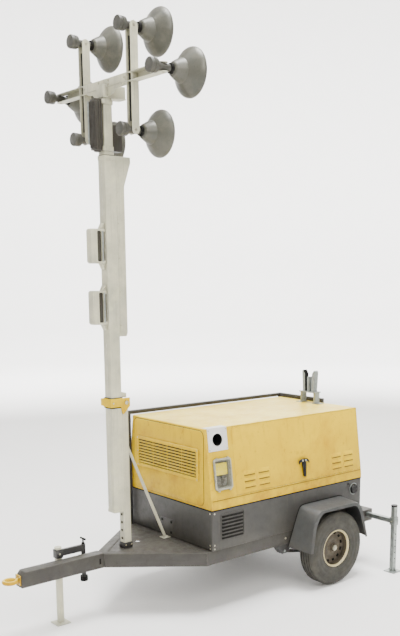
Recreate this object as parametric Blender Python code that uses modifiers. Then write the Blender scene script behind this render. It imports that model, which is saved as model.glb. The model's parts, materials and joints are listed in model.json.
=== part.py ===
"""Towable light tower: a diesel generating set under a canopy on a single-axle trailer, with a
telescopic mast that tilts down over the roof. Metres, +Z up, +X to the rear, -Y is the door side.
The origin is on the ground, midway along the object."""

import math

import bmesh
import bpy
from mathutils import Matrix, Vector

GAP = 0.0003  # left between pieces that touch

# Canopy and base
BODY_FRONT, BODY_REAR = -0.22, 1.464
BODY_HALF = 0.547
BASE_BOTTOM, BASE_TOP = 0.494, 0.808
SILL_TOP, ROOF_TOP, ROOF_HALF = 0.89, 1.419, 0.475
SKIN = 0.003

# Chassis
RAIL_BOTTOM, RAIL_TOP = 0.390, BASE_BOTTOM - GAP
RAIL_HALF, RAIL_WIDTH = 0.535, 0.060
BEND_X, NOSE_X, TAIL_X = -0.262, -0.850, 1.640
DRAWBAR_FRONT, DRAWBAR_HALF, DRAWBAR_TOP = -1.520, 0.045, 0.502
EYE_X, EYE_Z, EYE_R, EYE_HOLE = -1.585, 0.445, 0.055, 0.030

# Running gear
AXLE_X, TYRE_R, TYRE_WIDTH, WHEEL_Y = 0.971, 0.310, 0.165, 0.6545
RIM_R, STUB_R, HUB_BORE = 0.1677, 0.020, 0.0205
WHEEL_STEPS = 28

# Stands
LEG, SLEEVE, SLIDE_FIT = 0.040, 0.054, 0.041
OUTRIGGER_X, OUTRIGGER_Y, OUTRIGGER_Z = 1.575, 0.835, 0.455
PROP_X, PROP_PIVOT_X, PROP_Y = -1.160, -0.950, 0.085

# Mast
POST_X, POST_SIZE, POST_TOP = -0.625, 0.060, 1.627
TILT_X, TILT_Z, TILT_PIN_R = -0.625, 1.615, 0.008
MAST_X, MAST_BOTTOM = -0.704, 0.788
MAST_SIZES = (0.088, 0.079, 0.070)
MAST_WALL = 0.0035
MAST_TOPS = (3.360, 3.385, 3.7497)

# Lamps
LAMP_PIVOT_X = -0.675
BAR_Y, LAMP_TOP_Z, LAMP_LOW_Z = 0.300, 4.160, 3.500
CROSS_Z, CROSS_Y = 3.840, 0.650
CHANNEL, CHANNEL_WALL = 0.060, 0.004
LAMP_NECK_R, LAMP_NECK_END, LAMP_RIM, LAMP_RIM_R = 0.024, 0.0747, 0.230, 0.160
LAMP_STEPS = 20

for old in list(bpy.data.objects):
    bpy.data.objects.remove(old, do_unlink=True)

parts = bpy.data.collections.new("towable_light_tower")
cutters = bpy.data.collections.new("cutters")
bpy.context.scene.collection.children.link(parts)
bpy.context.scene.collection.children.link(cutters)


def colour(code):
    """Linear colour of an sRGB hex code."""
    channels = [int(code[i:i + 2], 16) / 255 for i in (0, 2, 4)]
    return [c / 12.92 if c < 0.04045 else ((c + 0.055) / 1.055) ** 2.4 for c in channels] + [1.0]


def material(name, code, roughness, metallic=0.0, alpha=1.0):
    made = bpy.data.materials.new(name)
    made.use_nodes = True
    shader = made.node_tree.nodes["Principled BSDF"]
    shader.inputs["Base Color"].default_value = colour(code)
    shader.inputs["Roughness"].default_value = roughness
    shader.inputs["Metallic"].default_value = metallic
    shader.inputs["Alpha"].default_value = alpha
    made.diffuse_color = colour(code)
    return made


FRAME_PAINT = material("frame_paint", "625D55", 0.55)
YELLOW_PAINT = material("yellow_paint", "E3C64B", 0.45)
BASE_PAINT = material("base_paint", "5E5A54", 0.5)
FENDER_PLASTIC = material("fender_plastic", "5F6060", 0.6)
MAST_PAINT = material("mast_paint", "C9C7BE", 0.5)
ZINC = material("zinc", "A9ABA8", 0.4, 0.8)
DARK_PAINT = material("dark_paint", "3C3B3A", 0.5)
TYRE_RUBBER = material("tyre_rubber", "55524A", 0.85)
RIM_PAINT = material("rim_paint", "6B6050", 0.5)
LAMP_PAINT = material("lamp_paint", "77756A", 0.5)
BLACK_PLASTIC = material("black_plastic", "1C1C1E", 0.4)
GREY_PLASTIC = material("grey_plastic", "A6A69E", 0.45)
CLEAR_PLASTIC = material("clear_plastic", "C9C8BC", 0.15, 0.0, 0.4)
LENS_GLASS = material("lens_glass", "D8DEDF", 0.05, 0.0, 0.35)
IRON = material("iron", "4A4C4E", 0.6, 0.5)


# Solids

def helper(mesh, place=Matrix()):
    """An object in the cutters collection, until part() takes it."""
    made = bpy.data.objects.new(mesh.name, mesh)
    made.matrix_world = place
    made.hide_render = True
    made.display_type = "WIRE"
    cutters.objects.link(made)
    return made


def from_bmesh(work, place=Matrix()):
    mesh = bpy.data.meshes.new("solid")
    work.to_mesh(mesh)
    work.free()
    return helper(mesh, place)


def box(low, high, place=Matrix()):
    low, high = Vector(low), Vector(high)
    work = bmesh.new()
    bmesh.ops.create_cube(work, size=1.0)
    bmesh.ops.scale(work, vec=high - low, verts=work.verts)
    bmesh.ops.translate(work, vec=(low + high) / 2, verts=work.verts)
    return from_bmesh(work, place)


def rod(start, end, radius, sides=12, place=Matrix()):
    """A cylinder between two points."""
    start, end = Vector(start), Vector(end)
    work = bmesh.new()
    bmesh.ops.create_cone(
        work, cap_ends=True, segments=sides, radius1=radius, radius2=radius,
        depth=(end - start).length,
    )
    turn = (end - start).to_track_quat("Z", "Y").to_matrix().to_4x4()
    bmesh.ops.transform(work, matrix=Matrix.Translation((start + end) / 2) @ turn, verts=work.verts)
    return from_bmesh(work, place)


def slab(outlines, thickness, place=Matrix()):
    """A flat outline with its holes, drawn in X and Y and thick along Z, both ways from zero."""
    curve = bpy.data.curves.new("outline", "CURVE")
    curve.dimensions = "2D"
    curve.fill_mode = "BOTH"
    curve.extrude = thickness / 2
    for outline in outlines:
        spline = curve.splines.new("POLY")
        spline.points.add(len(outline) - 1)
        for point, (x, y) in zip(spline.points, outline):
            point.co = (x, y, 0.0, 1.0)
        spline.use_cyclic_u = True
    drawn = bpy.data.objects.new("outline", curve)
    cutters.objects.link(drawn)
    graph = bpy.context.evaluated_depsgraph_get()
    mesh = bpy.data.meshes.new_from_object(drawn.evaluated_get(graph))
    bpy.data.objects.remove(drawn)
    work = bmesh.new()
    work.from_mesh(mesh)
    bmesh.ops.remove_doubles(work, verts=work.verts, dist=0.00001)
    bmesh.ops.recalc_face_normals(work, faces=work.faces)
    return from_bmesh(work, place)


def turned(profile, steps, place=Matrix()):
    """A profile of (radius, height) turned about Z, listed from top to bottom on its outer side."""
    mesh = bpy.data.meshes.new("profile")
    points = [(radius, 0.0, height) for radius, height in profile]
    closed = profile[0][0] > 0
    edges = [(i, i + 1) for i in range(len(points) - 1)]
    if closed:
        edges.append((len(points) - 1, 0))
    mesh.from_pydata(points, edges, [])
    made = helper(mesh, place)
    screw = made.modifiers.new("turn", "SCREW")
    screw.steps = screw.render_steps = steps
    screw.use_merge_vertices = True
    screw.merge_threshold = 0.00005
    return made


def rectangle(low, high):
    return [(low[0], low[1]), (high[0], low[1]), (high[0], high[1]), (low[0], high[1])]


def circle(centre, radius, sides=16):
    turns = [2 * math.pi * i / sides for i in range(sides)]
    return [(centre[0] + radius * math.cos(t), centre[1] + radius * math.sin(t)) for t in turns]


def stadium(start, end, radius, sides=4):
    """A slot outline whose round ends are centred on two points."""
    heading = math.atan2(end[1] - start[1], end[0] - start[0])
    outline = []
    for centre, first in ((end, heading - math.pi / 2), (start, heading + math.pi / 2)):
        for i in range(sides + 1):
            t = first + math.pi * i / sides
            outline.append((centre[0] + radius * math.cos(t), centre[1] + radius * math.sin(t)))
    return outline


def standing(y):
    """Places a slab drawn in X and Z, as seen from the door side, at depth y."""
    return Matrix.Translation((0, y, 0)) @ Matrix.Rotation(math.pi / 2, 4, "X")


def along_x(x):
    """Places a slab drawn in Y and Z at x."""
    return Matrix(((0, 0, 1, x), (1, 0, 0, 0), (0, 1, 0, 0), (0, 0, 0, 1)))


def plan(z):
    return Matrix.Translation((0, 0, z))


def square_tube(centre, size, wall, low, high):
    """An open square tube that stands upright."""
    def ring(half):
        return rectangle((centre[0] - half, centre[1] - half), (centre[0] + half, centre[1] + half))
    return slab([ring(size / 2), ring(size / 2 - wall)], high - low, plan((low + high) / 2))


def then(base, operation, other):
    step = base.modifiers.new(operation.lower(), "BOOLEAN")
    step.operation = operation
    step.object = other
    step.solver = "EXACT"


def part(name, finish, base, joins=(), cuts=(), last=(), pivot=None):
    """Makes a helper a part of the object: joins are united with it, cuts are then taken from it,
    and what stands inside those cuts is united last."""
    base.name = base.data.name = name
    for operation, others in (("UNION", joins), ("DIFFERENCE", cuts), ("UNION", last)):
        for other in others:
            then(base, operation, other)
    cutters.objects.unlink(base)
    parts.objects.link(base)
    base.hide_render = False
    base.display_type = "TEXTURED"
    base.data.materials.append(finish)
    if pivot:
        hold(base, pivot)
    return base


def hold(child, pivot):
    place = child.matrix_world.copy()
    child.parent = pivot
    child.matrix_parent_inverse = Matrix.Translation(pivot["at"]).inverted()
    child.matrix_basis = place


def pivot(name, at, parent=None):
    """An empty on a joint's axis."""
    made = bpy.data.objects.new(name, None)
    made.empty_display_size = 0.1
    made["at"] = at
    parts.objects.link(made)
    if parent:
        made.parent = parent
        made.location = Vector(at) - Vector(parent["at"])
    else:
        made.location = at
    return made


# Chassis

def chassis():
    inner = RAIL_HALF - RAIL_WIDTH
    height = RAIL_TOP - RAIL_BOTTOM
    outer_line = [
        (NOSE_X, -DRAWBAR_HALF), (BEND_X, -RAIL_HALF), (TAIL_X, -RAIL_HALF),
        (TAIL_X, RAIL_HALF), (BEND_X, RAIL_HALF), (NOSE_X, DRAWBAR_HALF),
    ]
    nose_hole = [(NOSE_X + 0.05, 0.0), (-0.28, -0.435), (-0.28, 0.435)]
    bays = [(-0.20, 0.55), (0.61, 0.931), (1.011, 1.545)]
    holes = [box((front, -inner, 0.3), (rear, inner, 0.6)) for front, rear in bays]
    frame = slab([outer_line], height, plan(RAIL_BOTTOM + height / 2))
    nose = slab([nose_hole], 4 * height, plan(RAIL_BOTTOM))
    deck_hole = circle((-0.473, 0.070), 0.022, 16)
    deck_line = [(NOSE_X + 0.02, 0.0), (-0.24, -0.480), (-0.24, 0.480)]
    deck = slab([deck_line, deck_hole], 0.008, plan(RAIL_TOP - 0.006))
    half = SLIDE_FIT / 2
    channel = box(
        (OUTRIGGER_X - half, -0.6, OUTRIGGER_Z - half), (OUTRIGGER_X + half, 0.6, OUTRIGGER_Z + half)
    )
    part("chassis_frame", FRAME_PAINT, frame, [], [nose] + holes + [channel], [deck])


def drawbar():
    side = [
        (NOSE_X - GAP, 0.389), (NOSE_X - GAP, DRAWBAR_TOP), (DRAWBAR_FRONT + 0.03, DRAWBAR_TOP),
        (DRAWBAR_FRONT, 0.465), (DRAWBAR_FRONT, 0.389),
    ]
    beam = slab([side], 2 * DRAWBAR_HALF, standing(0))
    bracket = box(
        (PROP_PIVOT_X - 0.03, DRAWBAR_HALF - 0.01, 0.40), (PROP_PIVOT_X + 0.03, PROP_Y + 0.03, 0.48)
    )
    bore = rod((PROP_PIVOT_X, PROP_Y, 0.3), (PROP_PIVOT_X, PROP_Y, 0.6), 0.0178)
    part("drawbar", FRAME_PAINT, beam, [bracket], [bore])

    ring = slab([circle((EYE_X, 0), EYE_R, 24), circle((EYE_X, 0), EYE_HOLE, 24)], 0.030, plan(EYE_Z))
    shank_start = EYE_X + EYE_HOLE + 0.008
    shank = rod((shank_start, 0, EYE_Z), (DRAWBAR_FRONT - GAP, 0, EYE_Z), 0.014)
    flange = box((DRAWBAR_FRONT - 0.006, -0.035, 0.41), (DRAWBAR_FRONT - GAP, 0.035, 0.48))
    part("tow_eye", YELLOW_PAINT, ring, [shank, flange])


def axle():
    """The beam, its two stub axles, and a leaf spring with its hangers under each rail."""
    beam = box((AXLE_X - 0.025, -0.535, TYRE_R - 0.025), (AXLE_X + 0.025, 0.535, TYRE_R + 0.025))
    joins = []
    for side in (-1, 1):
        joins.append(rod((AXLE_X, side * 0.52, TYRE_R), (AXLE_X, side * 0.672, TYRE_R), STUB_R, 24))
        steps = [i / 4 for i in range(-4, 5)]
        upper = [(AXLE_X + 0.43 * t, 0.286 + 0.055 * t * t) for t in steps]
        lower = [(x, z - 0.018) for x, z in reversed(upper)]
        joins.append(slab([upper + lower], 0.05, standing(side * 0.505)))
        for end in (-1, 1):
            x = AXLE_X + end * 0.42
            hanger = [(x - 0.09, RAIL_BOTTOM - GAP), (x - 0.03, 0.315), (x + 0.03, 0.315),
                      (x + 0.09, RAIL_BOTTOM - GAP)]
            joins.append(slab([hanger], 0.06, standing(side * 0.505)))
    part("axle_beam", DARK_PAINT, beam, joins)


def wheels():
    half = TYRE_WIDTH / 2
    tyre_line = [
        (0.168, 0.060), (0.190, 0.078), (0.235, half), (0.285, 0.076), (0.304, 0.060), (TYRE_R, 0.035),
        (TYRE_R, -0.035), (0.304, -0.060), (0.285, -0.076), (0.235, -half), (0.190, -0.078),
        (0.168, -0.060),
    ]
    rim_line = [
        (0.0, 0.055), (0.022, 0.055), (0.032, 0.020), (0.100, 0.004), (0.130, 0.012), (0.148, 0.010),
        (0.150, 0.060), (0.157, 0.066), (RIM_R, 0.060), (RIM_R, -0.060), (0.152, -0.060),
        (0.146, -0.004), (0.055, -0.010), (0.050, -0.060), (HUB_BORE, -0.060), (HUB_BORE, 0.030),
        (0.0, 0.030),
    ]
    for side, end in ((-1, "near"), (1, "far")):
        place = Matrix.Translation((AXLE_X, side * WHEEL_Y, TYRE_R))
        place = place @ Matrix.Rotation(-side * math.pi / 2, 4, "X")
        centre = pivot("wheel_pivot_" + end, (AXLE_X, side * WHEEL_Y, TYRE_R))
        part("tyre_" + end, TYRE_RUBBER, turned(tyre_line, WHEEL_STEPS, place), pivot=centre)
        part("rim_" + end, RIM_PAINT, turned(rim_line, WHEEL_STEPS, place), pivot=centre)


def fender(side, end):
    """A folded guard lofted from the line where it meets the base to its outer edge, with a lip."""
    inner = [(0.575, 0.364), (0.690, 0.655), (0.722, 0.691), (1.205, 0.691), (1.240, 0.655),
             (1.350, 0.364)]
    outer = [(0.645, 0.335), (0.672, 0.575), (0.745, 0.676), (1.215, 0.672), (1.270, 0.590),
             (1.336, 0.345)]
    lip = [(x + 0.10 * (AXLE_X - x), z - 0.024) for x, z in outer]
    lip[0], lip[-1] = (0.668, 0.335), (1.312, 0.345)
    rows = [(BODY_HALF + GAP, inner), (0.745, outer), (0.745, lip)]
    work = bmesh.new()
    grid = [[work.verts.new((x, side * y, z)) for x, z in line] for y, line in rows]
    for row, after in zip(grid, grid[1:]):
        for i in range(len(row) - 1):
            work.faces.new((row[i], row[i + 1], after[i + 1], after[i]))
    if side > 0:
        bmesh.ops.reverse_faces(work, faces=work.faces)
    made = from_bmesh(work)
    sheet = made.modifiers.new("sheet", "SOLIDIFY")
    sheet.thickness = 0.004
    sheet.offset = -1.0
    trim = box((0.4, -BODY_HALF - GAP, 0.2), (1.5, BODY_HALF + GAP, 0.9))
    part("fender_" + end, FENDER_PLASTIC, made, [], [trim])


# Stands

def leg(name, finish, x, y, top, foot, centre):
    tube = box((x - LEG / 2, y - LEG / 2, 0.004), (x + LEG / 2, y + LEG / 2, top))
    plate = box((x - foot / 2, y - foot / 2, 0.0), (x + foot / 2, y + foot / 2, 0.008))
    cap = rod((x, y, top - 0.002), (x, y, top + 0.012), 0.026)
    part(name, finish, tube, [plate, cap], pivot=centre)


def outriggers():
    for side, end in ((-1, "near"), (1, "far")):
        y = side * OUTRIGGER_Y
        slide = pivot("outrigger_slide_" + end, (OUTRIGGER_X, y, OUTRIGGER_Z))
        ends = sorted((side * 0.30, side * (OUTRIGGER_Y - 0.010)))
        arm = box((OUTRIGGER_X - LEG / 2, ends[0], OUTRIGGER_Z - LEG / 2),
                  (OUTRIGGER_X + LEG / 2, ends[1], OUTRIGGER_Z + LEG / 2))
        sleeve = box((OUTRIGGER_X - SLEEVE / 2, y - SLEEVE / 2, 0.420),
                     (OUTRIGGER_X + SLEEVE / 2, y + SLEEVE / 2, 0.490))
        bore = box((OUTRIGGER_X - SLIDE_FIT / 2, y - SLIDE_FIT / 2, 0.3),
                   (OUTRIGGER_X + SLIDE_FIT / 2, y + SLIDE_FIT / 2, 0.6))
        part("outrigger_arm_" + end, ZINC, arm, [sleeve], [bore], pivot=slide)
        lift = pivot("outrigger_lift_" + end, (OUTRIGGER_X, y, OUTRIGGER_Z), slide)
        leg("outrigger_leg_" + end, ZINC, OUTRIGGER_X, y, 0.585, 0.110, lift)


def prop_stand():
    swing = pivot("prop_swing", (PROP_PIVOT_X, PROP_Y, 0.44))
    pin = rod((PROP_PIVOT_X, PROP_Y, 0.300), (PROP_PIVOT_X, PROP_Y, 0.565), 0.017)
    knob = rod((PROP_PIVOT_X, PROP_Y, 0.280), (PROP_PIVOT_X, PROP_Y, 0.320), 0.028)
    stem = rod((PROP_PIVOT_X, PROP_Y, 0.55), (PROP_PIVOT_X, PROP_Y, 0.612), 0.007, 12)
    handle = rod((PROP_PIVOT_X, PROP_Y - 0.03, 0.606), (PROP_PIVOT_X, PROP_Y + 0.03, 0.606), 0.006, 12)
    arm = box((PROP_X, PROP_Y - 0.010, 0.512), (PROP_PIVOT_X, PROP_Y + 0.010, 0.562))
    half = SLEEVE / 2
    sleeve = box((PROP_X - half, PROP_Y - half, 0.505), (PROP_X + half, PROP_Y + half, 0.568))
    half = SLIDE_FIT / 2
    bore = box((PROP_X - half, PROP_Y - half, 0.4), (PROP_X + half, PROP_Y + half, 0.7))
    part("prop_arm", DARK_PAINT, pin, [knob, stem, handle, arm, sleeve], [bore], pivot=swing)
    lift = pivot("prop_lift", (PROP_X, PROP_Y, 0.53), swing)
    leg("prop_leg", MAST_PAINT, PROP_X, PROP_Y, 0.574, 0.110, lift)


# Canopy

SLOPE_RUN, SLOPE_RISE = BODY_HALF - ROOF_HALF, ROOF_TOP - SILL_TOP
SLOPE_LENGTH = math.hypot(SLOPE_RUN, SLOPE_RISE)
UP_Y, UP_Z = SLOPE_RUN / SLOPE_LENGTH, SLOPE_RISE / SLOPE_LENGTH
SLOPE = Matrix((  # along X, up the door side's slope, and out of it
    (1, 0, 0, 0), (0, UP_Y, -UP_Z, -BODY_HALF), (0, UP_Z, UP_Y, SILL_TOP), (0, 0, 0, 1),
))
DOOR_LOW, DOOR_HIGH = (0.030, 0.003), (1.448, 0.5245)
DOOR_DEPTH = 0.018
WINDOW_LOW, WINDOW_HIGH = (-0.182, 0.066), (-0.014, 0.304)
EXHAUST_X, EXHAUST_UP = -0.118, 0.446


def on_slope(thickness_from):
    return SLOPE @ Matrix.Translation((0, 0, thickness_from))


def base_box():
    low = Vector((BODY_FRONT, -BODY_HALF, BASE_BOTTOM))
    high = Vector((BODY_REAR, BODY_HALF, BASE_TOP - GAP))
    wall = Vector((SKIN, SKIN, SKIN))
    hollow = box(low + wall, high - wall + Vector((0, 0, 0.02)))
    cuts = [hollow]
    for row in range(7):
        z = 0.578 + 0.028 * row
        cuts.append(box((-0.125, -0.6, z), (0.090, -0.5, z + 0.012)))
    cuts.append(rod((1.364, -0.6, 0.724), (1.364, -0.5, 0.724), 0.034))
    part("lower_body", BASE_PAINT, box(low, high), [], cuts)


def cap_and_filler():
    turn = pivot("fuel_cap_turn", (1.364, -BODY_HALF, 0.724))
    head = rod((1.364, -BODY_HALF - GAP, 0.724), (1.364, -BODY_HALF - 0.022, 0.724), 0.041, 24)
    neck = rod((1.364, -BODY_HALF - 0.004, 0.724), (1.364, -0.505, 0.724), 0.030)
    part("fuel_cap", BLACK_PLASTIC, head, [neck], pivot=turn)


def canopy_section(inset):
    """Half-symmetric section in Y and Z of the canopy, drawn in by a skin's thickness."""
    bottom = BASE_TOP - (0.05 if inset else 0.0)
    half, roof_half, roof = BODY_HALF - inset, ROOF_HALF - inset, ROOF_TOP - inset
    right = [(half, bottom), (half, SILL_TOP), (roof_half, roof)]
    return right + [(-y, z) for y, z in reversed(right)]


def canopy():
    centre = (BODY_FRONT + BODY_REAR) / 2
    length = BODY_REAR - BODY_FRONT
    outside = slab([canopy_section(0.0)], length, along_x(centre))
    inside = slab([canopy_section(SKIN)], length - 2 * SKIN, along_x(centre))
    margin = 0.002
    door = box((DOOR_LOW[0] - margin, DOOR_LOW[1] - margin, -0.03),
               (DOOR_HIGH[0] + margin, DOOR_HIGH[1] + margin, 0.03), SLOPE)
    window = box((WINDOW_LOW[0] + 0.012, WINDOW_LOW[1] + 0.012, -0.03),
                 (WINDOW_HIGH[0] - 0.012, WINDOW_HIGH[1] - 0.012, 0.03), SLOPE)
    flue = rod((EXHAUST_X, EXHAUST_UP, -0.03), (EXHAUST_X, EXHAUST_UP, 0.03), 0.056, 24, place=SLOPE)
    grille = box((BODY_FRONT - 0.02, -0.376, 1.036), (BODY_FRONT + 0.02, 0.376, 1.237))
    part("canopy_shell", YELLOW_PAINT, outside, [], [inside, door, window, flue, grille])


def louvre_hood(x, up):
    """One pressed louvre, a wedge that opens downwards."""
    side = [(up, 0.0), (up + 0.030, -0.001), (up, 0.010)]
    place = SLOPE @ Matrix(((0, 0, 1, x), (1, 0, 0, 0), (0, 1, 0, 0), (0, 0, 0, 1)))
    return slab([side], 0.120, place)


def door():
    hinge = pivot("door_hinge", tuple(SLOPE @ Vector((0.74, DOOR_HIGH[1], 0.0))))
    skin = box((*DOOR_LOW, -DOOR_DEPTH), (*DOOR_HIGH, 0.0), SLOPE)
    pan = box((DOOR_LOW[0] + SKIN, DOOR_LOW[1] + SKIN, -0.05),
              (DOOR_HIGH[0] - SKIN, DOOR_HIGH[1] - SKIN, -SKIN), SLOPE)
    latch_base = box((0.737, 0.028, -SKIN), (0.773, 0.192, 0.010), SLOPE)
    socket = rod((0.755, 0.055, 0.002), (0.755, 0.055, 0.02), 0.0085, 16, place=SLOPE)
    hoods = [
        louvre_hood(x, 0.048 + 0.048 * row)
        for x in (0.172, 0.322, 1.158, 1.308) for row in range(3)
    ]
    part("side_door", YELLOW_PAINT, skin, [latch_base] + hoods, [pan, socket], pivot=hinge)

    turn = pivot("latch_turn", tuple(SLOPE @ Vector((0.755, 0.055, 0.01))), hinge)
    grip = slab([stadium((0.755, 0.055), (0.755, 0.170), 0.013)], 0.012, on_slope(0.0165))
    stem = rod((0.755, 0.055, 0.0025), (0.755, 0.055, 0.014), 0.008, 16, place=SLOPE)
    part("door_latch", BLACK_PLASTIC, grip, [stem], pivot=turn)


def front_grille():
    ring = slab([rectangle((-0.400, 1.013), (0.400, 1.260)), rectangle((-0.375, 1.038), (0.375, 1.235))],
                0.014, along_x(BODY_FRONT - 0.007 - GAP))
    slats = []
    for row in range(8):
        z = 1.048 + 0.0236 * row
        side = [(BODY_FRONT - 0.012, z), (BODY_FRONT - 0.003, z + 0.014),
                (BODY_FRONT - 0.005, z + 0.016), (BODY_FRONT - 0.014, z + 0.002)]
        slats.append(slab([side], 0.760, standing(0)))
    part("front_grille", YELLOW_PAINT, ring, slats)


def exhaust():
    plate = box((-0.207, 0.362, GAP), (-0.020, SLOPE_LENGTH + 0.002, 0.003), SLOPE)
    flap = box((-0.207, -ROOF_HALF - 0.003, ROOF_TOP + GAP), (-0.020, -0.415, ROOF_TOP + 0.003))
    pipe = rod((EXHAUST_X, EXHAUST_UP, 0.0025), (EXHAUST_X, EXHAUST_UP, -0.16), 0.054, 24, place=SLOPE)
    can = rod((-0.190, -0.290, 1.300), (0.010, -0.290, 1.300), 0.090, 24)
    bore = rod((EXHAUST_X, EXHAUST_UP, 0.05), (EXHAUST_X, EXHAUST_UP, -0.10), 0.048, 24, place=SLOPE)
    part("exhaust_outlet", ZINC, plate, [flap, pipe, can], [bore])


def control_window():
    low, high = WINDOW_LOW, WINDOW_HIGH
    bezel = box((*low, GAP), (*high, 0.012), SLOPE)
    tray = box((low[0] + 0.013, low[1] + 0.013, -0.045), (high[0] - 0.013, high[1] - 0.013, 0.006), SLOPE)
    hollow = box((low[0] + 0.018, low[1] + 0.018, -0.041), (high[0] - 0.018, high[1] - 0.018, 0.05), SLOPE)
    breakers = [
        box((x - 0.022, 0.095, -0.043), (x + 0.022, 0.165, -0.012), SLOPE) for x in (-0.126, -0.070)
    ]
    part("control_window_frame", GREY_PLASTIC, bezel, [tray], [hollow], breakers)
    hinge = pivot("window_hinge", tuple(SLOPE @ Vector((-0.098, high[1], 0.014))))
    lid = box((low[0], low[1], 0.012 + GAP), (high[0], high[1], 0.020), SLOPE)
    inside = box((low[0] + 0.012, low[1] + 0.012, 0.0), (high[0] - 0.012, high[1] - 0.012, 0.017), SLOPE)
    part("control_window_lid", CLEAR_PLASTIC, lid, [], [inside], pivot=hinge)


def rest_frame():
    """A dark hoop that carries nothing while the mast stands: two posts, a rail and an arm."""
    y0, y1, low, high = 0.485, 0.515, ROOF_TOP + 0.0035, ROOF_TOP + 0.0335
    front = box((-0.2575, y0, BASE_BOTTOM), (-0.2275, y1, high))
    rail = box((-0.2575, y0, low), (1.4995, y1, high))
    rear = box((1.4695, y0, BASE_BOTTOM), (1.4995, y1, high))
    arm = box((1.4695, -0.060, high - 0.060), (1.4995, y1, high))
    part("mast_rest_frame", DARK_PAINT, front, [rail, rear, arm])


def cradle():
    """A saddle on the roof for the lowered mast."""
    low, high, middle = 1.345, 1.405, 1.375
    deck = box((low - 0.012, -0.095, 1.515), (high + 0.012, 0.095, 1.524))
    joins = []
    for side in (-1, 1):
        joins.append(box((low, side * 0.080 - 0.010, ROOF_TOP + GAP), (high, side * 0.080 + 0.010, 1.520)))
        joins.append(box((low - 0.01, side * 0.100 - 0.035, ROOF_TOP + GAP),
                         (high + 0.01, side * 0.100 + 0.035, ROOF_TOP + 0.005)))
        prong = [(side * 0.0385, 1.520), (side * 0.0645, 1.520), (side * 0.0765, 1.700),
                 (side * 0.0665, 1.712), (side * 0.0445, 1.680)]
        joins.append(slab([prong], 0.050, along_x(middle)))
    joins.append(box((low + 0.005, -0.014, 1.520), (high - 0.005, 0.014, 1.6535)))
    part("mast_cradle", ZINC, deck, joins)


def machinery():
    """The generating set, which the open door shows."""
    floor = BASE_BOTTOM + SKIN + GAP
    block = box((0.150, -0.180, 0.700), (0.700, 0.180, 1.080))
    joins = [
        box((0.180, -0.140, 1.070), (0.670, 0.100, 1.200)),
        box((0.200, -0.130, 0.600), (0.650, 0.130, 0.710)),
        rod((0.050, 0.0, 0.960), (0.160, 0.0, 0.960), 0.050),
        rod((0.040, 0.0, 0.960), (0.056, 0.0, 0.960), 0.190, 24),
        box((0.240, -0.250, 1.000), (0.600, -0.170, 1.090)),
    ]
    for x in (0.200, 0.600):
        joins.append(box((x, -0.300, 0.660), (x + 0.050, 0.300, 0.710)))
        for y in (-0.280, 0.280):
            joins.append(rod((x + 0.025, y, floor), (x + 0.025, y, 0.670), 0.025, 16))
    part("engine", IRON, block, joins)

    housing = rod((0.701, 0.0, 0.900), (1.080, 0.0, 0.900), 0.190, 24)
    foot = box((0.760, -0.160, floor), (1.020, 0.160, 0.740))
    terminal = box((0.800, -0.120, 1.060), (1.000, 0.120, 1.180))
    part("alternator", BASE_PAINT, housing, [foot, terminal])

    core = box((-0.195, -0.160, 0.620), (-0.130, 0.400, 1.240))
    foot = box((-0.195, -0.160, floor), (-0.130, 0.400, 0.630))
    part("radiator", DARK_PAINT, core, [foot])

    tank = box((1.180, -0.350, floor), (1.440, 0.420, 0.860))
    filler = rod((1.364, -0.340, 0.724), (1.364, -0.5045, 0.724), 0.032)
    part("fuel_tank", BLACK_PLASTIC, tank, [filler])


# Mast

def mast_post():
    tube = square_tube((POST_X, 0.0), POST_SIZE, 0.004, BASE_BOTTOM, POST_TOP)
    cap = box((POST_X - 0.032, -0.032, BASE_BOTTOM), (POST_X + 0.032, 0.032, 0.530))
    pins = [rod((POST_X - 0.05, 0.0, 0.570 + 0.062 * i), (POST_X, 0.0, 0.570 + 0.062 * i), 0.007, 8)
            for i in range(4)]
    bore = rod((TILT_X, -0.1, TILT_Z), (TILT_X, 0.1, TILT_Z), TILT_PIN_R + 0.0005, 16)
    part("mast_post", MAST_PAINT, tube, [cap], pins + [bore])

    rear = POST_X + POST_SIZE / 2 + GAP
    strut = [(rear, 1.300), (rear, 1.262), (-0.268, 0.498), (-0.246, 0.498)]
    foot = box((-0.290, -0.030, BASE_BOTTOM), (-0.226, 0.030, 0.500))
    part("mast_brace", MAST_PAINT, slab([strut], 0.018, standing(0)), [foot])


def mast_sections(tilt):
    outer = square_tube((MAST_X, 0.0), MAST_SIZES[0], MAST_WALL, MAST_BOTTOM, MAST_TOPS[0])
    rear = MAST_X + MAST_SIZES[0] / 2
    lug = [(rear - 0.002, 1.651), (-0.605, 1.651), (-0.605, 1.682), (rear - 0.002, 1.697)]
    part("mast_outer", MAST_PAINT, outer, [slab([lug], 0.050, standing(0))], pivot=tilt)
    middle_slide = pivot("middle_slide", (MAST_X, 0.0, MAST_TOPS[1]), tilt)
    middle = square_tube((MAST_X, 0.0), MAST_SIZES[1], MAST_WALL, MAST_BOTTOM + 0.012, MAST_TOPS[1])
    part("mast_middle", MAST_PAINT, middle, pivot=middle_slide)
    top_slide = pivot("top_slide", (MAST_X, 0.0, MAST_TOPS[2]), middle_slide)
    top = square_tube((MAST_X, 0.0), MAST_SIZES[2], MAST_WALL, MAST_BOTTOM + 0.027, MAST_TOPS[2])
    part("mast_top", MAST_PAINT, top, pivot=top_slide)
    return top_slide


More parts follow.
